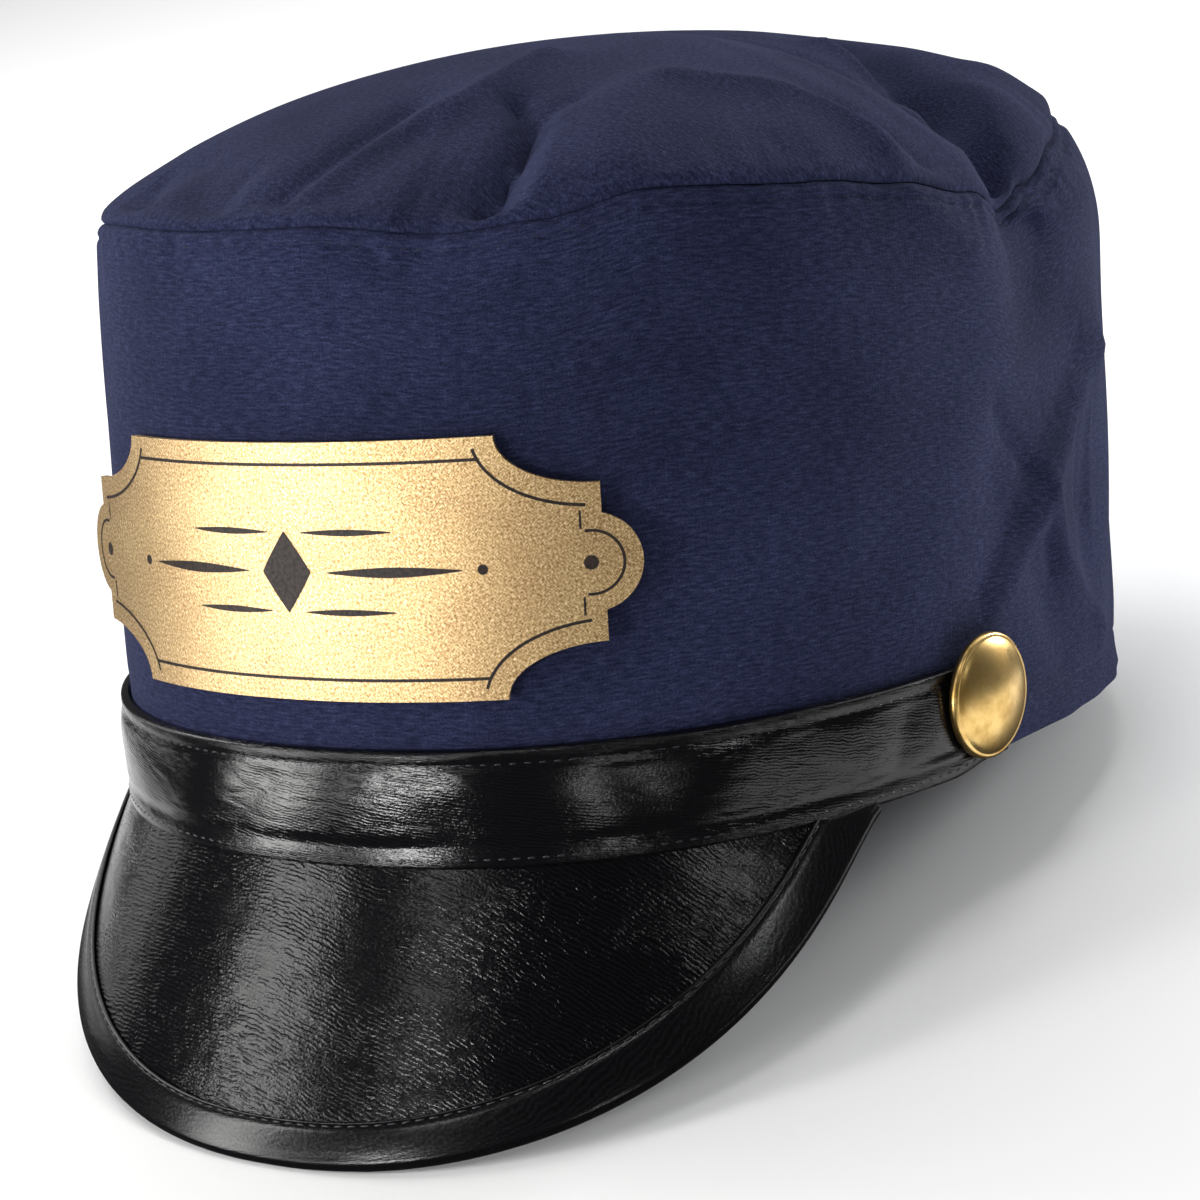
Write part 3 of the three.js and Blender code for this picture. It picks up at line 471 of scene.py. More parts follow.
# Finishes.
class Finish:
    """A material, with short ways to add nodes in front of its shader."""

    def __init__(self, name):
        self.material = bpy.data.materials.new(name)
        self.material.use_nodes = True
        self.tree = self.material.node_tree
        self.shader = self.tree.nodes["Principled BSDF"]

    def node(self, kind, **settings):
        made = self.tree.nodes.new(kind)
        for key, value in settings.items():
            if key in made.inputs:
                made.inputs[key].default_value = value
            else:
                setattr(made, key, value)
        return made

    def feed(self, socket, value):
        """A plain number or colour is set on the socket, anything else is linked to it."""
        if isinstance(value, (int, float)):
            socket.default_value = value
        elif isinstance(value, tuple):
            socket.default_value = (*value, 1)
        else:
            self.tree.links.new(value, socket)

    def set(self, **values):
        for key, value in values.items():
            self.feed(self.shader.inputs[key.replace("_", " ")], value)

    def coordinates(self, kind, turn=0):
        spot = self.node("ShaderNodeTexCoord").outputs[kind]
        if not turn:
            return spot
        turned = self.node("ShaderNodeMapping", Rotation=(0, 0, math.radians(turn)))
        self.feed(turned.inputs["Vector"], spot)
        return turned.outputs["Vector"]

    def noise(self, source, scale, detail, roughness, distortion=0.0):
        place = self.node("ShaderNodeMapping", Scale=scale)
        self.feed(place.inputs["Vector"], source)
        noise = self.node("ShaderNodeTexNoise", Scale=1.0, Detail=detail, Roughness=roughness,
                          Distortion=distortion)
        self.feed(noise.inputs["Vector"], place.outputs["Vector"])
        return noise.outputs["Fac"]

    def wave(self, source, direction, scale, distortion, detail, **inputs):
        wave = self.node("ShaderNodeTexWave", Scale=scale, Distortion=distortion, Detail=detail,
                         bands_direction=direction)
        for key, value in inputs.items():
            wave.inputs[key.replace("_", " ")].default_value = value
        self.feed(wave.inputs["Vector"], source)
        return wave.outputs["Fac"]

    def ramp(self, source, *stops):
        """Stops are a place and a colour, or a place and a shade of grey."""
        made = self.node("ShaderNodeValToRGB")
        band = made.color_ramp
        while len(band.elements) < len(stops):
            band.elements.new(0.5)
        for element, (position, color) in zip(band.elements, stops):
            element.position = position
            element.color = (*color, 1) if isinstance(color, tuple) else (color, color, color, 1)
        self.feed(made.inputs["Fac"], source)
        return made.outputs["Color"]

    def combined(self, operation, first, second):
        made = self.node("ShaderNodeMath", operation=operation)
        self.feed(made.inputs[0], first)
        self.feed(made.inputs[1], second)
        return made.outputs[0]

    def product(self, first, *others):
        for other in others:
            first = self.combined("MULTIPLY", first, other)
        return first

    def total(self, first, *terms):
        """The first value and, for each further one, the value times its weight."""
        for value, weight in terms:
            first = self.combined("ADD", first, self.combined("MULTIPLY", value, weight))
        return first

    def tinted(self, color, *tints):
        for tint in tints:
            made = self.node("ShaderNodeMix", data_type="RGBA", blend_type="MULTIPLY")
            made.inputs[0].default_value = 1.0
            self.feed(made.inputs[6], color)
            self.feed(made.inputs[7], tint)
            color = made.outputs[2]
        return color

    def bump(self, height, strength, distance):
        bump = self.node("ShaderNodeBump", Strength=strength, Distance=distance)
        self.feed(bump.inputs["Height"], height)
        self.feed(self.shader.inputs["Normal"], bump.outputs["Normal"])


def navy_cotton(name, stretch):
    """Matt navy twill with uneven yarns, lighter specks and a soft nap."""
    finish = Finish(name)
    cloth = finish.coordinates("UV")
    slubs = finish.noise(cloth, (2.2 / stretch, 2.2, 1), 3, 0.6)
    warp = finish.noise(cloth, (1.7, 0.5, 1), 2, 0.6)
    specks = finish.noise(cloth, (3.0, 3.6, 1), 2, 0.7)
    worn = finish.noise(cloth, (0.035, 0.035, 1), 4, 0.6)
    weft_lines = finish.wave(cloth, "Y", 0.55, 0.9, 2.0)
    warp_lines = finish.wave(cloth, "X", 0.62, 0.9, 2.0)
    base = finish.ramp(slubs, (0.32, (0.0092, 0.0112, 0.0305)), (0.5, (0.0162, 0.0193, 0.0495)),
                       (0.68, (0.0275, 0.0325, 0.0765)))
    color = finish.tinted(
        base,
        finish.ramp(warp, (0.3, (0.88, 0.88, 0.9)), (0.7, (1.1, 1.1, 1.08))),
        finish.ramp(specks, (0.35, (0.66, 0.66, 0.68)), (0.52, 1.0), (0.7, (1.6, 1.58, 1.5))),
        finish.ramp(worn, (0.32, (0.78, 0.78, 0.8)), (0.68, (1.2, 1.2, 1.18))))
    weave = finish.combined("ADD", weft_lines, warp_lines)
    finish.bump(finish.total(specks, (slubs, 0.9), (weave, 0.05), (warp, 0.6)), 0.55, 0.00032)
    finish.set(Base_Color=color, Roughness=0.92, Specular_IOR_Level=0.06, Sheen_Weight=0.03,
               Sheen_Roughness=0.5, Sheen_Tint=(0.55, 0.6, 0.95))
    return finish.material


def creased_vinyl(name, grain, crinkle, roughness, depth, shine):
    """Glossy black vinyl with patches of short wavy ridges between smoother ones."""
    finish = Finish(name)
    face, slant = finish.coordinates("UV"), finish.coordinates("UV", 14)
    ridges = finish.wave(slant, "Y", 0.33 * grain, 9.0, 3.0, Detail_Scale=0.55, Detail_Roughness=0.6)
    breaks = finish.noise(slant, (0.32 * grain, 0.62 * grain, 1), 2, 0.5)
    swell = finish.noise(face, (0.045, 0.075, 1), 2, 0.5)
    folds = finish.noise(slant, (0.11, 0.3, 1), 2, 0.5, 0.6)
    pores = finish.noise(face, (1.5 * grain, 2.1 * grain, 1), 2, 0.6)
    patches = finish.ramp(swell, (0.4, 0.2), (0.56, 1.0))
    cut = finish.ramp(breaks, (0.36, 0.15), (0.58, 1.0))
    raised = finish.combined("POWER", ridges, 1.6)
    creases = finish.product(raised, cut, patches, crinkle)
    finish.bump(finish.total(creases, (pores, 0.55), (folds, 2.0), (swell, 5.0)), 1.0, depth)
    # Base colour a little lighter on the ridge crests and darker in the troughs between them: painted
    # highlight on the crests and painted shade in the creases.
    tone = finish.ramp(raised, (0.2, (0.0014, 0.0014, 0.0018)), (0.8, (0.0034, 0.0034, 0.0044)))
    gloss = finish.ramp(pores, (0.3, roughness - 0.04), (0.7, roughness + 0.08))
    finish.set(Base_Color=tone, Roughness=gloss, Specular_IOR_Level=shine)
    return finish.material


def gold_foil(name):
    """Gold foil on stiff card, with a fine slanting woven grain that catches the light."""
    finish = Finish(name)
    face, slant = finish.coordinates("UV"), finish.coordinates("UV", 38)
    threads = finish.noise(slant, (1.6, 5.6, 1), 2, 0.6)
    crossed = finish.noise(slant, (5.0, 1.8, 1), 2, 0.6)
    clouds = finish.noise(face, (0.06, 0.08, 1), 3, 0.6)
    grain = finish.combined("ADD", threads, crossed)
    tone = finish.ramp(finish.combined("MULTIPLY", grain, 0.5), (0.38, (0.24, 0.135, 0.055)),
                       (0.5, (0.57, 0.39, 0.18)), (0.62, (0.97, 0.8, 0.52)))
    hue = finish.ramp(clouds, (0.35, (0.9, 0.84, 0.8)), (0.65, (1.06, 1.04, 1.0)))
    finish.bump(grain, 0.6, 0.00012)
    finish.set(Base_Color=finish.tinted(tone, hue), Metallic=0.85,
               Roughness=finish.ramp(grain, (0.4, 0.25), (0.6, 0.37)))
    return finish.material


def satin_gold(name):
    """Gilt metal, duller and darker where it is handled less."""
    finish = Finish(name)
    spot = finish.coordinates("Object")
    handled = finish.noise(spot, (260, 260, 260), 4, 0.6)
    fine = finish.noise(spot, (2400, 2400, 2400), 2, 0.6)
    tone = finish.ramp(handled, (0.32, (0.46, 0.28, 0.08)), (0.6, (0.7, 0.48, 0.18)))
    finish.bump(fine, 0.2, 0.00005)
    finish.set(Base_Color=tone, Roughness=finish.ramp(handled, (0.3, 0.36), (0.7, 0.26)), Metallic=1.0)
    return finish.material


def sewing_thread(name, color, roughness):
    finish = Finish(name)
    twist = finish.noise(finish.coordinates("Object"), (3000, 3000, 3000), 2, 0.5)
    dark = tuple(0.6 * part for part in color)
    bright = tuple(min(1.0, 1.35 * part) for part in color)
    finish.bump(twist, 0.4, 0.00005)
    finish.set(Base_Color=finish.ramp(twist, (0.3, dark), (0.7, bright)), Roughness=roughness)
    return finish.material


def printed_ink(name):
    finish = Finish(name)
    rub = finish.noise(finish.coordinates("Object"), (1500, 1500, 1500), 2, 0.6)
    finish.bump(rub, 0.3, 0.00004)
    finish.set(Base_Color=finish.ramp(rub, (0.3, (0.008, 0.006, 0.006)), (0.75, (0.04, 0.026, 0.02))),
               Roughness=0.5, Specular_IOR_Level=0.2)
    return finish.material


cotton_side = navy_cotton("navy_cotton_side", 4.5)
cotton_top = navy_cotton("navy_cotton_top", 2.2)
peak_vinyl = creased_vinyl("peak_vinyl", 1.3, 0.95, 0.15, 0.00008, 0.18)
binding_vinyl = creased_vinyl("binding_vinyl", 1.6, 0.15, 0.2, 0.00004, 0.26)
strap_vinyl = creased_vinyl("strap_vinyl", 1.5, 0.4, 0.12, 0.00007, 0.36)
badge_gold = gold_foil("badge_gold_foil")
button_gold = satin_gold("button_satin_gold")
navy_thread = sewing_thread("navy_thread", (0.009, 0.0105, 0.028), 0.85)
black_thread = sewing_thread("black_thread", (0.014, 0.014, 0.017), 0.35)
badge_ink = printed_ink("badge_ink")


# Crown wall: one width of cloth sewn together at the back.
def uneven(count, middle_step, *close):
    """Shares from 0 to 1 with smaller steps near the given lengths of a row."""
    spots = np.linspace(0, 1, 4001)
    density = np.full(spots.shape, 1.0 / middle_step)
    for centre, spread, step in close:
        density += (1.0 / step) * np.exp(-((spots - centre) / spread) ** 2)
    total = np.concatenate([[0], np.cumsum((density[1:] + density[:-1]) / 2)])
    return np.interp(np.linspace(0, total[-1], count + 1), total, spots)


def row_place(v, places):
    return np.interp(v, np.linspace(0, 1, len(places)), places)


# Thickness of the visible cloth in metres, the wall's girth in millimetres.
WALL_COLUMNS, WALL_ROWS, WALL_CLOTH, WALL_GIRTH, CLOTH_SMOOTHING = 500, 76, 0.0018, 590, 60
wall_shares = uneven(WALL_ROWS, 1.0, (1.0, 0.05, 0.22), (0.06, 0.03, 0.5))


def wall_place(u, v):
    return wall_point(-180 + 360 * u, row_place(v, wall_shares))


def wall_flat(u, v):
    return WALL_GIRTH * u, CROWN_HEIGHT * row_place(v, wall_shares)


crown_wall = weld(shaped_grid("crown_wall_cloth", WALL_COLUMNS, WALL_ROWS, wall_place, wall_flat))
add_modifier(crown_wall, "SOLIDIFY", thickness=WALL_CLOTH, offset=-1, use_even_offset=False)
smooth(crown_wall, CLOTH_SMOOTHING)
dress(crown_wall, cotton_side, "crown_cloth", "crown_side")

# Crown top: a rounded panel, puffed up, with its rim turned down into the seam.
TOP_COLUMNS, TOP_ROWS, TOP_CLOTH = 440, 84, 0.0013
top_rings = uneven(TOP_ROWS, 1.0, (1.0, 0.05, 0.25), (0.85, 0.12, 1.4))


def top_place(u, v):
    return top_point(-180 + 360 * u, row_place(v, top_rings))


def top_flat(u, v):
    spots = plan_point(-180 + 360 * u, row_place(v, top_rings))
    return spots[..., 0], spots[..., 1]


crown_top = weld(shaped_grid("crown_top_cloth", TOP_COLUMNS, TOP_ROWS, top_place, top_flat))
add_modifier(crown_top, "SOLIDIFY", thickness=TOP_CLOTH, offset=-1, use_even_offset=False)
smooth(crown_top, CLOTH_SMOOTHING)
dress(crown_top, cotton_top, "crown_cloth", "crown_top")


# Peak: a stiff curved board with its flange inside the wall.
PEAK_FLANGE_CORNERS, PEAK_FACE_ROWS, PEAK_UNDER_CORNERS, PEAK_WEB_CORNERS = 3, 25, 16, 2
PEAK_CORNERS = PEAK_FLANGE_CORNERS + PEAK_FACE_ROWS + 1 + PEAK_UNDER_CORNERS + PEAK_WEB_CORNERS
PEAK_RUN, SHEET_RADIUS = 185, 112.0


def peak_section(angles):
    reach = peak_reach(angles)
    inward = WALL_THICKNESS + CLEARANCE
    under = np.array([0, 0, CLEARANCE])
    web = np.array([0, 0, CLEARANCE + PEAK_THICKNESS])
    rows = [
        oval_point(angles, FLANGE_HEIGHT, -inward - PEAK_THICKNESS),
        oval_point(angles, FLANGE_HEIGHT, -inward),
        oval_point(angles, 0, -inward) - under,
    ]
    rows += [peak_point(angles, share * reach, 0) for share in np.linspace(0, 1, PEAK_FACE_ROWS + 1)]
    rows += [peak_point(angles, share * reach, -PEAK_THICKNESS)
             for share in np.linspace(1, 0.04, PEAK_UNDER_CORNERS)]
    rows += [oval_point(angles, 0, 0) - web, oval_point(angles, 0, -inward - PEAK_THICKNESS) - web]
    return np.stack(rows, axis=1)


def along_front(scale_u, scale_v):
    return lambda u, v: (scale_u * u, scale_v * v)


peak_angles = np.linspace(-PEAK_HALF_ANGLE, PEAK_HALF_ANGLE, 181)


def peak_flat(u, v):
    """The peak's cover as cut from flat sheet: a bent band, so its grain turns towards the ends."""
    run = (u - 0.5) * PEAK_RUN
    share = np.clip((v * PEAK_CORNERS - PEAK_FLANGE_CORNERS) / PEAK_FACE_ROWS, 0, 1)
    radius = SHEET_RADIUS + share * peak_reach((2 * u - 1) * PEAK_HALF_ANGLE)
    return radius * np.sin(run / SHEET_RADIUS), -radius * np.cos(run / SHEET_RADIUS)


peak = swept_section("peak_board", peak_angles, peak_section, peak_flat)
smooth(peak, 40)
dress(peak, peak_vinyl, "black_vinyl", "peak")

# Edge binding: a strip folded round the peak's edge.
BINDING_TOP = CLEARANCE + BINDING_THICKNESS
BINDING_UNDER = -PEAK_THICKNESS - CLEARANCE
BINDING_BELOW = BINDING_UNDER - BINDING_THICKNESS
BINDING_NOSE = -CLEARANCE - BINDING_WRAP
BINDING_NOSE_REACH = (BINDING_TOP - BINDING_UNDER + BINDING_THICKNESS) / 2
BINDING_STITCHES = 0.895

# Corners of the folded edge: share of its width, how far past the peak's edge, height.
binding_shape = [(1, 0, CLEARANCE), (1, 0, BINDING_TOP * 0.5), (0.985, 0, BINDING_TOP * 0.82)]
binding_shape += [(leg, 0, BINDING_TOP + lift) for leg, lift in (
    (0.96, -0.02), (0.925, -0.16), (BINDING_STITCHES, -0.26), (0.865, -0.16), (0.82, 0.0), (0.7, 0.06),
    (0.5, 0.08), (0.3, 0.06), (0.12, 0.02), (0, -0.06))]
for degrees in np.linspace(15, 165, 9):
    turn = math.radians(degrees)
    binding_shape.append(
        (0, BINDING_NOSE * math.sin(turn), -PEAK_THICKNESS / 2 + BINDING_NOSE_REACH * math.cos(turn)))
binding_shape += [(0, 0, BINDING_BELOW), (0.5, 0, BINDING_BELOW), (1, 0, BINDING_BELOW)]
binding_shape += [(1, 0, BINDING_UNDER), (0.5, 0, BINDING_UNDER), (0, -CLEARANCE, BINDING_UNDER)]
binding_shape += [(0, -CLEARANCE, CLEARANCE), (0.5, 0, CLEARANCE)]


def binding_spot(angles, leg_share, past, rise):
    """A place on the binding, measured square to the peak's edge."""
    small = 0.05
    reach = peak_reach(angles)
    behind = peak_point(angles - small, peak_reach(angles - small), 0)
    edge = unit(peak_point(angles + small, peak_reach(angles + small), 0) - behind)
    level = peak_point(angles + small, reach, 0) - peak_point(angles - small, reach, 0)
    per_degree = np.linalg.norm(level, axis=-1) / (2 * small)
    in_side = (edge * unit(peak_point(angles, reach + small, 0) - peak_point(angles, reach, 0))).sum(-1)
    in_down = -(edge * unit(level)).sum(-1)
    room = np.maximum(0.4, reach - BINDING_START) / np.maximum(small, -in_down)
    side_share = smooth_step(0.1, 0.7, np.abs(angles) / PEAK_HALF_ANGLE)
    width = BINDING_FRONT_WIDTH + (BINDING_WIDTH - BINDING_FRONT_WIDTH) * side_share
    distance = leg_share * np.minimum(width, room) + past
    return peak_point(angles + distance * in_side / per_degree, reach + distance * in_down, rise)


def binding_section(angles):
    return np.stack([binding_spot(angles, *corner) for corner in binding_shape], axis=1)


binding_angles = PEAK_HALF_ANGLE * np.sin(np.linspace(-math.pi / 2, math.pi / 2, 241))
binding = swept_section("peak_edge_binding", binding_angles, binding_section, along_front(245, 22))
smooth(binding, 50)
dress(binding, binding_vinyl, "black_vinyl", "peak_binding")

# Strap: two plies stitched along both edges, a little puffed between the rows of stitches.
STRAP_STITCH_INSET, STRAP_RIM_STITCH, STRAP_RECESS, STRAP_HANG = 2.3, 1.4, 2.9, 1.2
STRAP_PAD, STRAP_CREST, STRAP_RIPPLE, STRAP_SUNK = 0.42, 0.55, 0.11, 0.12
# Dents as lines through (angle, height) points; then depth, width and sharpness as for the folds.
STRAP_DENTS = [
    ([(-9, 3), (-4, 12)], 0.42, 4.0, 1.7),
    ([(-20, 5), (-15, 14)], 0.34, 4.5, 1.7),
    ([(14, 4), (11, 13)], 0.34, 4.0, 1.7),
    ([(44, 12), (48, 5)], 0.4, 3.6, 1.6),
    ([(57, 13), (55, 4)], 0.36, 3.4, 1.6),
    ([(-42, 4), (-38, 13)], 0.34, 4.0, 1.7),
    ([(28, 13), (31, 4)], 0.3, 4.5, 1.8),
]


def strap_drop(angles, height):
    """The strap's lower edge hangs a little below the hem, except at its ends."""
    hang = STRAP_HANG * (1 - smooth_step(STRAP_END_ANGLE - 10, STRAP_END_ANGLE - 3, np.abs(angles)))
    return height - hang * (1 - smooth_step(0, 5, height))


def strap_section(angles):
    heights = STRAP_HEIGHT * (0.5 - 0.5 * np.cos(np.linspace(0.02, math.pi - 0.02, 34)))
    from_edge = np.minimum(heights, STRAP_HEIGHT - heights)
    fullness = np.where(heights < STRAP_HEIGHT / 2, 0.5, 0.75)
    shape = STRAP_THICKNESS * (1 - fullness * (1 - np.clip(from_edge / 0.6, 0, 1)) ** 2.4)
    groove = 0.3 * fade(STRAP_HEIGHT - heights - STRAP_STITCH_INSET, 0.45)
    groove = groove + 0.4 * fade(heights - STRAP_RECESS, 0.6)
    outer = shape - groove - STRAP_SUNK
    crest = np.exp(STRAP_CREST * ripples(angles, 17, 7, 5, 17))
    rows = []
    for height, out in zip(heights, outer):
        inside = min(height, STRAP_HEIGHT - height)
        spots = unrolled(angles, np.full(angles.shape, height))
        dent = fold_sum(STRAP_DENTS, spots, lambda line: unrolled(line[:, 0], line[:, 1]))
        dent = (dent + STRAP_RIPPLE * ripples(angles, 42, 6, 14, 34)) * smooth_step(2.4, 4.5, inside)
        pad = STRAP_PAD * np.sin(np.pi * (height / STRAP_HEIGHT) ** crest) ** 2
        pad = pad * smooth_step(1.6, 4.2, inside)
        rows.append(oval_point(angles, strap_drop(angles, height), CLEARANCE + out + pad - dent))
    back = (STRAP_HEIGHT - 0.3, STRAP_HEIGHT / 2, 0.3)
    rows += [oval_point(angles, height, CLEARANCE) for height in back]
    return np.stack(rows, axis=1)


strap_angles = np.linspace(-STRAP_END_ANGLE, STRAP_END_ANGLE, 401)
strap = swept_section("front_strap", strap_angles, strap_section, along_front(235, 38))
smooth(strap, 50)
dress(strap, strap_vinyl, "black_vinyl", "strap")

# Buttons: a disc drawn up ring by ring into rim, step and dome, on its sewing shank.
BUTTON_RINGS = [
    # radius share, height
    (0.90, 0.0), (0.965, 0.08), (1.0, 0.45), (1.005, 0.95), (0.995, 1.4), (0.97, 1.66), (0.945, 1.72),
    (0.93, 1.7), (0.915, 1.8), (0.885, 2.05), (0.84, 2.32), (0.76, 2.68), (0.66, 3.06), (0.55, 3.42),
    (0.43, 3.74), (0.31, 4.02), (0.2, 4.22), (0.1, 4.34),
]


def turned_button(name, side):
    """side is 1 for the wearer's left and -1 for the right."""
    seat = STRAP_THICKNESS + 2 * CLEARANCE
    back = -seat - WALL_THICKNESS + CLEARANCE
    deselect()
    bpy.ops.mesh.primitive_circle_add(
        vertices=72, radius=SHANK_RADIUS, fill_type="NGON", location=(0, 0, back))
    piece = named(bpy.context.object, name)
    make_active(piece)
    bpy.ops.object.transform_apply(location=True, rotation=True, scale=True)
    edit(piece)
    radius, height = SHANK_RADIUS, back
    for share, level in [(SHANK_RADIUS / BUTTON_RADIUS, 0.0)] + BUTTON_RINGS:
        bpy.ops.mesh.extrude_region_move(TRANSFORM_OT_translate={"value": (0, 0, level - height)})
        factor = share * BUTTON_RADIUS / radius
        bpy.ops.transform.resize(value=(factor, factor, 1), center_override=(0, 0, level))
        radius, height = share * BUTTON_RADIUS, level
    bpy.ops.mesh.extrude_region_move(TRANSFORM_OT_translate={"value": (0, 0, BUTTON_DOME - height)})
    bpy.ops.mesh.merge(type="CENTER")
    bpy.ops.mesh.select_all(action="SELECT")
    bpy.ops.mesh.remove_doubles(threshold=0.001)
    bpy.ops.mesh.normals_make_consistent(inside=False)
    leave_edit()
    outward = outward_at(side * BUTTON_ANGLE)
    place = oval_point(side * BUTTON_ANGLE, BUTTON_HEIGHT, 0) + outward * seat
    turn = Vector((0, 0, 1)).rotation_difference(Vector(outward)).to_matrix()
    move_corners(piece, np.array([turn @ corner.co for corner in piece.data.vertices]) + place)
    smooth(piece, 50)
    return piece


for side, name, cad_node in ((1, "domed_button_left", "button_left"),
                             (-1, "domed_button_right", "button_right")):
    dress(turned_button(name, side), button_gold, "button_metal", cad_node)


# Badge: a card plate cut to its outline, bent round the wall, with printed lines.
BADGE_FLAT_HALF = BADGE_LEDGE_HALF - BADGE_CORNER_REACH
BADGE_FALL = BADGE_HALF_HEIGHT - BADGE_LEDGE_HEIGHT
EAR_CENTRE = BADGE_LEDGE_HALF - BADGE_EAR_INSET
BADGE_EDGE_ROUNDING, PRINT_LIFT = 0.00018, 0.05


def badge_outline():
    """Upper right quarter of the outline, from the top middle to the tip of the ear."""
    corner = [(BADGE_LEDGE_HALF - BADGE_CORNER_REACH * math.cos(t),
               BADGE_HALF_HEIGHT - BADGE_FALL * math.sin(t))
              for t in np.linspace(0, math.pi / 2, 22)]
    start = math.acos((BADGE_LEDGE_HALF - EAR_CENTRE) / BADGE_EAR_RADIUS)
    ear = [(EAR_CENTRE + BADGE_EAR_RADIUS * math.cos(t), BADGE_EAR_RADIUS * math.sin(t))
           for t in np.linspace(start, 0, 14)]
    flat = [(share * BADGE_FLAT_HALF, BADGE_HALF_HEIGHT) for share in np.linspace(0, 1, 13)[:-1]]
    return flat + corner + ear


quarter = badge_outline()
outline = quarter + [(x, -y) for x, y in quarter[-2::-1]]
outline += [(-x, y) for x, y in outline[-2:0:-1]]


def cut_plate(name, corners, lift, cuts):
    """A flat disc is pulled out to the outline, cut into strips and bent round the wall."""
    deselect()
    bpy.ops.mesh.primitive_circle_add(vertices=len(corners), radius=10, fill_type="NGON")
    piece = named(bpy.context.object, name)
    turns = [math.atan2(corner.co.y, corner.co.x) for corner in piece.data.vertices]
    for corner, (x, y) in zip(piece.data.vertices, corners if turns[1] < turns[0] else corners[::-1]):
        corner.co = (x, y, 0)
    edit(piece)
    for cut in cuts:
        bpy.ops.mesh.select_all(action="SELECT")
        bpy.ops.mesh.bisect(plane_co=(cut, 0, 0), plane_no=(1, 0, 0))
    leave_edit()
    mesh, flat = piece.data, corners_of(piece)[:, :2]
    layer = mesh.uv_layers.new(name="flat") if not mesh.uv_layers else mesh.uv_layers[0]
    for loop in mesh.loops:
        layer.data[loop.index].uv = flat[loop.vertex_index]
    move_corners(piece, badge_point(*flat.T, lift))
    return piece


badge = cut_plate("gold_badge", outline, BADGE_THICKNESS, np.arange(-55.5, 56, 1.5))
if badge.data.polygons[0].normal.y > 0:
    badge.data.flip_normals()
add_modifier(badge, "SOLIDIFY", thickness=BADGE_THICKNESS / 1000, offset=-1)
add_modifier(badge, "BEVEL", width=BADGE_EDGE_ROUNDING, segments=2, limit_method="ANGLE",
             angle_limit=math.radians(50))
# A small angle, so that the rounded edge doesn't bend the shading of the flat face.
smooth(badge, 15)
dress(badge, badge_gold, "badge_foil", "badge")


def ribbon(name, path, widths):
    """A printed line on the badge: a narrow grid laid along a path of (arc, rise) points."""
    path = np.array(path, float)
    step = unit(np.gradient(path, axis=0))
    across = np.stack([-step[:, 1], step[:, 0]], axis=1)
    widths = np.broadcast_to(widths, (len(path),))
    shares = np.linspace(0, 1, len(path))

    def flat_place(u, v):
        x = np.interp(u, shares, path[:, 0]) + (v - 0.5) * np.interp(u, shares, widths * across[:, 0])
        y = np.interp(u, shares, path[:, 1]) + (v - 0.5) * np.interp(u, shares, widths * across[:, 1])
        return x, y

    def place(u, v):
        x, y = flat_place(u, v)
        return badge_point(x, y, BADGE_THICKNESS + PRINT_LIFT)

    return shaped_grid(name, len(path) - 1, 1, place, flat_place)


LINE_INSET, LINE_WIDTH, LEDGE_LINE_WIDTH, RING_RADIUS = 3.4, 0.5, 0.34, 4.85
ledge_line = BADGE_LEDGE_HALF - LINE_INSET + 0.2
ring_start = math.acos(np.clip((ledge_line - EAR_CENTRE) / RING_RADIUS, -1, 1))
ledge_line_end = RING_RADIUS * math.sin(ring_start) + 0.5
lines = []
for mirror in (-1, 1):
    for flip in (-1, 1):
        turns = np.radians(np.linspace(9, 83, 30))
        reach, drop = BADGE_CORNER_REACH + LINE_INSET, BADGE_FALL + LINE_INSET
        arc = np.stack([mirror * (BADGE_LEDGE_HALF - reach * np.cos(turns)),
                        flip * (BADGE_HALF_HEIGHT - drop * np.sin(turns))], axis=1)
        lines.append((arc, LINE_WIDTH))
        side = mirror * ledge_line
        lines.append((np.linspace((side, flip * 8.0), (side, flip * ledge_line_end), 6), LEDGE_LINE_WIDTH))
    turns = np.linspace(-ring_start + 0.12, ring_start - 0.12, 40)
    ring = np.stack([mirror * (EAR_CENTRE + RING_RADIUS * np.cos(turns)),
                     RING_RADIUS * np.sin(turns)], axis=1)
    lines.append((ring, LINE_WIDTH * 0.9))
for flip in (-1, 1):
    half, rise = BADGE_FLAT_HALF - 2.7, flip * (BADGE_HALF_HEIGHT - LINE_INSET)
    lines.append((np.linspace((-half, rise), (half, rise), 60), LINE_WIDTH))
# Tapered dashes of the plain ornament: height, inner and outer end, thickness.
for mirror in (-1, 1):
    for rise, inner, outer, thick in ((0, 7.5, 30, 1.5), (6.2, 3.2, 19, 0.9), (-6.2, 3.2, 19, 0.9)):
        path = np.linspace((mirror * inner, rise), (mirror * outer, rise), 30)
        taper = np.clip(1 - np.abs(np.linspace(-1, 1, 30)) ** 1.7, 0, 1)
        lines.append((path, 0.14 + thick * taper))
printed = [ribbon(f"badge_line_{number}", path, width) for number, (path, width) in enumerate(lines)]


def printed_spot(name, arc, rise, half_arc, half_rise, corners, power=1.0):
    turns = np.linspace(0, 2 * math.pi, corners, endpoint=False)
    spots = [(arc + half_arc * np.sign(math.cos(t)) * abs(math.cos(t)) ** power,
              rise + half_rise * np.sign(math.sin(t)) * abs(math.sin(t)) ** power) for t in turns]
    return cut_plate(name, spots[::-1], BADGE_THICKNESS + PRINT_LIFT, [])


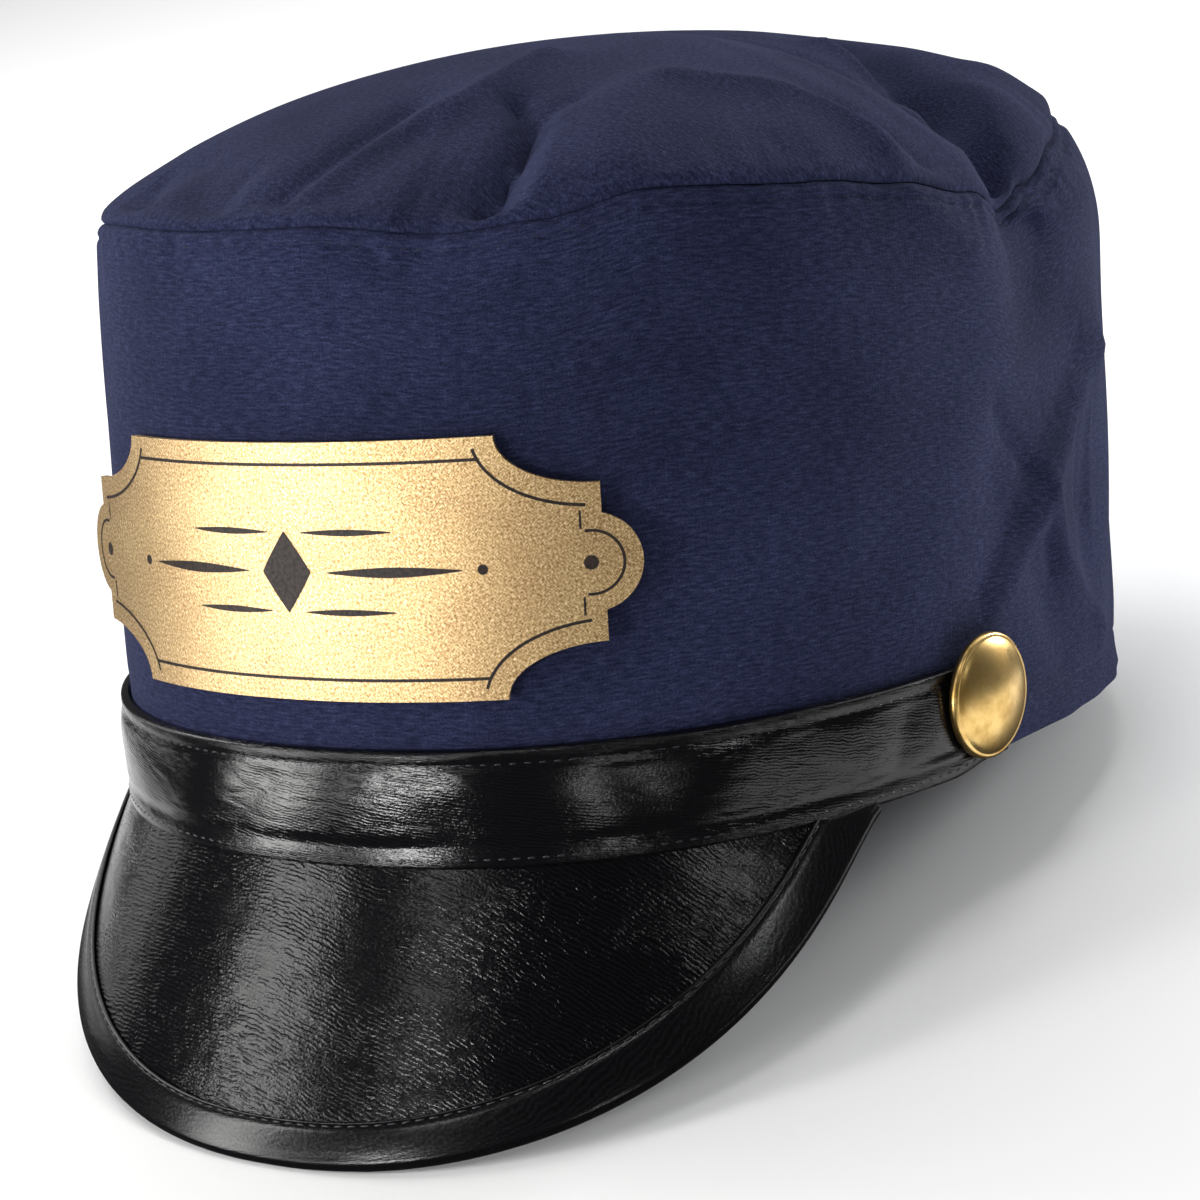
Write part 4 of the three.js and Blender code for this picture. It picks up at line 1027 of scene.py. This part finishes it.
printed.append(printed_spot("badge_dot_left", EAR_CENTRE, 0, 1.1, 1.1, 28))
printed.append(printed_spot("badge_dot_right", -EAR_CENTRE, 0, 1.1, 1.1, 28))
printed.append(printed_spot("badge_lozenge", 0, 0, 4.6, 6.4, 40, 1.9))
for mirror in (-1, 1):
    printed.append(printed_spot(f"badge_bead_{mirror + 1}", mirror * 33, 0, 0.8, 0.8, 20))
deselect()
for piece in printed:
    piece.select_set(True)
bpy.context.view_layer.objects.active = printed[0]
bpy.ops.object.join()
badge_print = named(printed[0], "badge_printed_lines")
for polygon in badge_print.data.polygons:
    if polygon.normal.dot(Vector((polygon.center.x, polygon.center.y - 0.03, 0))) < 0:
        polygon.flip()
dress(badge_print, badge_ink, "badge_foil")


# Stitches: one is modelled, then copied along each seam.
STITCH_SLANT, STITCH_SAG = 0.06, 0.12


def one_stitch(length, thickness):
    deselect()
    bpy.ops.mesh.primitive_uv_sphere_add(segments=6, ring_count=5, radius=0.5)
    piece = bpy.context.object
    corners = corners_of(piece)
    faces = [tuple(face.vertices) for face in piece.data.polygons]
    bpy.data.objects.remove(piece)
    shaped = corners[:, [2, 0, 1]] * (length, thickness, thickness)
    shaped[:, 2] -= STITCH_SAG * thickness * (2 * shaped[:, 0] / length) ** 2 * 2
    return shaped, faces


def stitch_row(name, line, spacing, length, thickness, sink, finish, slot):
    """line gives points and outward normals, in millimetres at rest, along the seam."""
    points, normals = line
    run = np.concatenate([[0], np.cumsum(np.linalg.norm(np.diff(points, axis=0), axis=1))])

    def along(track, at):
        return np.array([np.interp(at, run, track[:, axis]) for axis in range(3)])

    shape, faces = one_stitch(length, thickness)
    random = np.random.default_rng(len(name))
    corners, polygons = [], []
    for index in range(int(run[-1] / spacing)):
        at = (index + 0.5) * spacing
        centre, normal = along(points, at), along(normals, at)
        ahead = along(points, at + 0.5) - centre
        ahead = ahead / max(1e-6, np.linalg.norm(ahead))
        normal = normal - ahead * (normal @ ahead)
        normal = normal / np.linalg.norm(normal)
        across = np.cross(normal, ahead)
        slant = random.normal(0, STITCH_SLANT)
        turned = ahead * math.cos(slant) + across * math.sin(slant)
        ahead, across = turned, across * math.cos(slant) - ahead * math.sin(slant)
        placed = centre + shape[:, :1] * ahead + shape[:, 1:2] * across + (shape[:, 2:] - sink) * normal
        polygons += [tuple(corner + len(corners) * len(shape) for corner in face) for face in faces]
        corners.append(placed)
    mesh = bpy.data.meshes.new(name)
    mesh.from_pydata((np.vstack(corners) / 1000).tolist(), [], polygons)
    piece = bpy.data.objects.new(name, mesh)
    bpy.context.collection.objects.link(piece)
    smooth(piece, 180)
    dress(piece, finish, slot)


def seam_line(spot, angles):
    """Points at rest and outward normals of a surface along a line."""
    points = at_rest(spot(angles, 0.0)) * 1000
    up = at_rest(spot(angles, 0.3)) * 1000
    ahead = np.gradient(points, axis=0)
    return points, unit(np.cross(ahead, up - points))


around = np.linspace(-180, 180, 1441)
top_stitch = seam_line(lambda a, d: wall_point(a, 1 - (STITCH_DROP - d) / seam_at(a)[0]), around)
stitch_row("crown_seam_stitches", top_stitch, 2.4, 1.7, 0.34, 0.08, navy_thread, "crown_cloth")
rear = np.linspace(STRAP_END_ANGLE + 7, 360 - STRAP_END_ANGLE - 7, 901)
wrapped_rear = (rear + 180) % 360 - 180
hem_stitch = seam_line(lambda a, d: wall_point(a, (HEM_STITCH_HEIGHT + d) / seam_at(a)[0]), wrapped_rear)
stitch_row("hem_stitches", hem_stitch, 2.6, 1.8, 0.34, 0.08, navy_thread, "crown_cloth")
strap_run = np.linspace(-STRAP_END_ANGLE + 1.5, STRAP_END_ANGLE - 1.5, 601)
for name, height, sunk in (("strap_stitches_low", STRAP_RIM_STITCH, 0.2),
                           ("strap_stitches_high", STRAP_HEIGHT - STRAP_STITCH_INSET, 0.42)):
    strap_line = seam_line(
        lambda a, d: oval_point(a, strap_drop(a, height + d), CLEARANCE + STRAP_THICKNESS - sunk),
        strap_run)
    stitch_row(name, strap_line, 2.3, 1.7, 0.42, 0.0, black_thread, "black_vinyl")
binding_run = np.linspace(-PEAK_HALF_ANGLE * 0.96, PEAK_HALF_ANGLE * 0.96, 701)
binding_line = seam_line(
    lambda a, d: binding_spot(a, BINDING_STITCHES + 0.05 * d, 0, BINDING_TOP - 0.2), binding_run)
stitch_row("binding_stitches", binding_line, 2.3, 1.7, 0.4, 0.0, black_thread, "black_vinyl")

# Floor and soft studio light.
deselect()
bpy.ops.mesh.primitive_plane_add(size=8, location=(0, 0, -0.0002))
floor = named(bpy.context.object, "studio_floor")
paper = Finish("pale_paper")
paper.set(Base_Color=(0.86, 0.86, 0.86), Roughness=0.9)
floor.data.materials.append(paper.material)
floor.visible_glossy = False


def soft_light(name, place, target, size, power, tint):
    data = bpy.data.lights.new(name, "AREA")
    data.shape = "RECTANGLE"
    data.size, data.size_y = size
    data.energy = power
    data.color = tint
    light = bpy.data.objects.new(name, data)
    bpy.context.collection.objects.link(light)
    light.location = place
    aim = Vector(target) - Vector(place)
    light.rotation_euler = aim.to_track_quat("-Z", "Y").to_euler()
    light.visible_camera = False


def from_cap(turn, rise, distance):
    """A place at an angle from the front towards the wearer's left and an angle above the floor."""
    turn, rise = math.radians(turn), math.radians(rise)
    level = distance * math.cos(rise)
    return level * math.sin(turn), -level * math.cos(turn) - 0.03, distance * math.sin(rise) + 0.06


CAP_MIDDLE = (0, -0.03, 0.06)
WHITE, WARM, NEARLY_WHITE, COOL = (1, 1, 1), (1, 0.995, 0.98), (1, 0.998, 0.99), (0.98, 0.99, 1)
# Name, place, target, size in metres, power in watts, tint. Left and right are the camera's.
LIGHTS = [
    ("key_light", from_cap(-43, 15, 0.8), CAP_MIDDLE, (0.18, 0.6), 4.4, WARM),
    ("low_strip", from_cap(-30, 6, 0.9), CAP_MIDDLE, (0.32, 0.12), 0.7, WARM),
    ("low_strip_end", from_cap(-10, 9, 0.9), CAP_MIDDLE, (0.22, 0.1), 3.3, NEARLY_WHITE),
    ("low_right", from_cap(43, 4, 0.9), CAP_MIDDLE, (0.16, 0.12), 0.4, WARM),
    ("front_fill", from_cap(-6, 38, 0.9), (0, -0.03, 0.04), (0.18, 0.18), 0.7, WHITE),
    ("high_fill", from_cap(16, 66, 1.0), CAP_MIDDLE, (0.2, 0.2), 1.15, WHITE),
    ("left_panel", from_cap(-95, 12, 1.0), CAP_MIDDLE, (0.45, 0.5), 0.95, WHITE),
    ("right_strip", from_cap(80, 33, 0.9), CAP_MIDDLE, (0.08, 0.24), 0.75, COOL),
    ("rear_light", from_cap(150, 9, 1.0), (0, 0.02, 0.06), (0.24, 0.24), 7.5, COOL),
    ("top_light", (-0.85, 0.25, 0.75), (0, 0.02, 0.05), (0.4, 0.4), 2.8, WHITE),
    ("floor_light", (-0.7, 0.9, 1.3), (-0.7, 0.9, 0), (1.8, 1.8), 26, WHITE),
    ("floor_right", (0.5, 0.6, 0.6), (0.45, 0.0, 0), (0.5, 0.5), 1.3, WHITE),
    ("bounce_right", (0.17, 0.0, 0.002), (0.17, 0.0, 1), (0.12, 0.2), 0.12, WHITE),
    ("bounce_left", (-0.17, 0.0, 0.002), (-0.17, 0.0, 1), (0.12, 0.2), 0.08, WHITE),
]
for light in LIGHTS:
    soft_light(*light)
world = bpy.context.scene.world or bpy.data.worlds.new("studio")
bpy.context.scene.world = world
world.use_nodes = True
background = world.node_tree.nodes["Background"]
background.inputs["Color"].default_value = (1, 1, 1, 1)
background.inputs["Strength"].default_value = 0.06
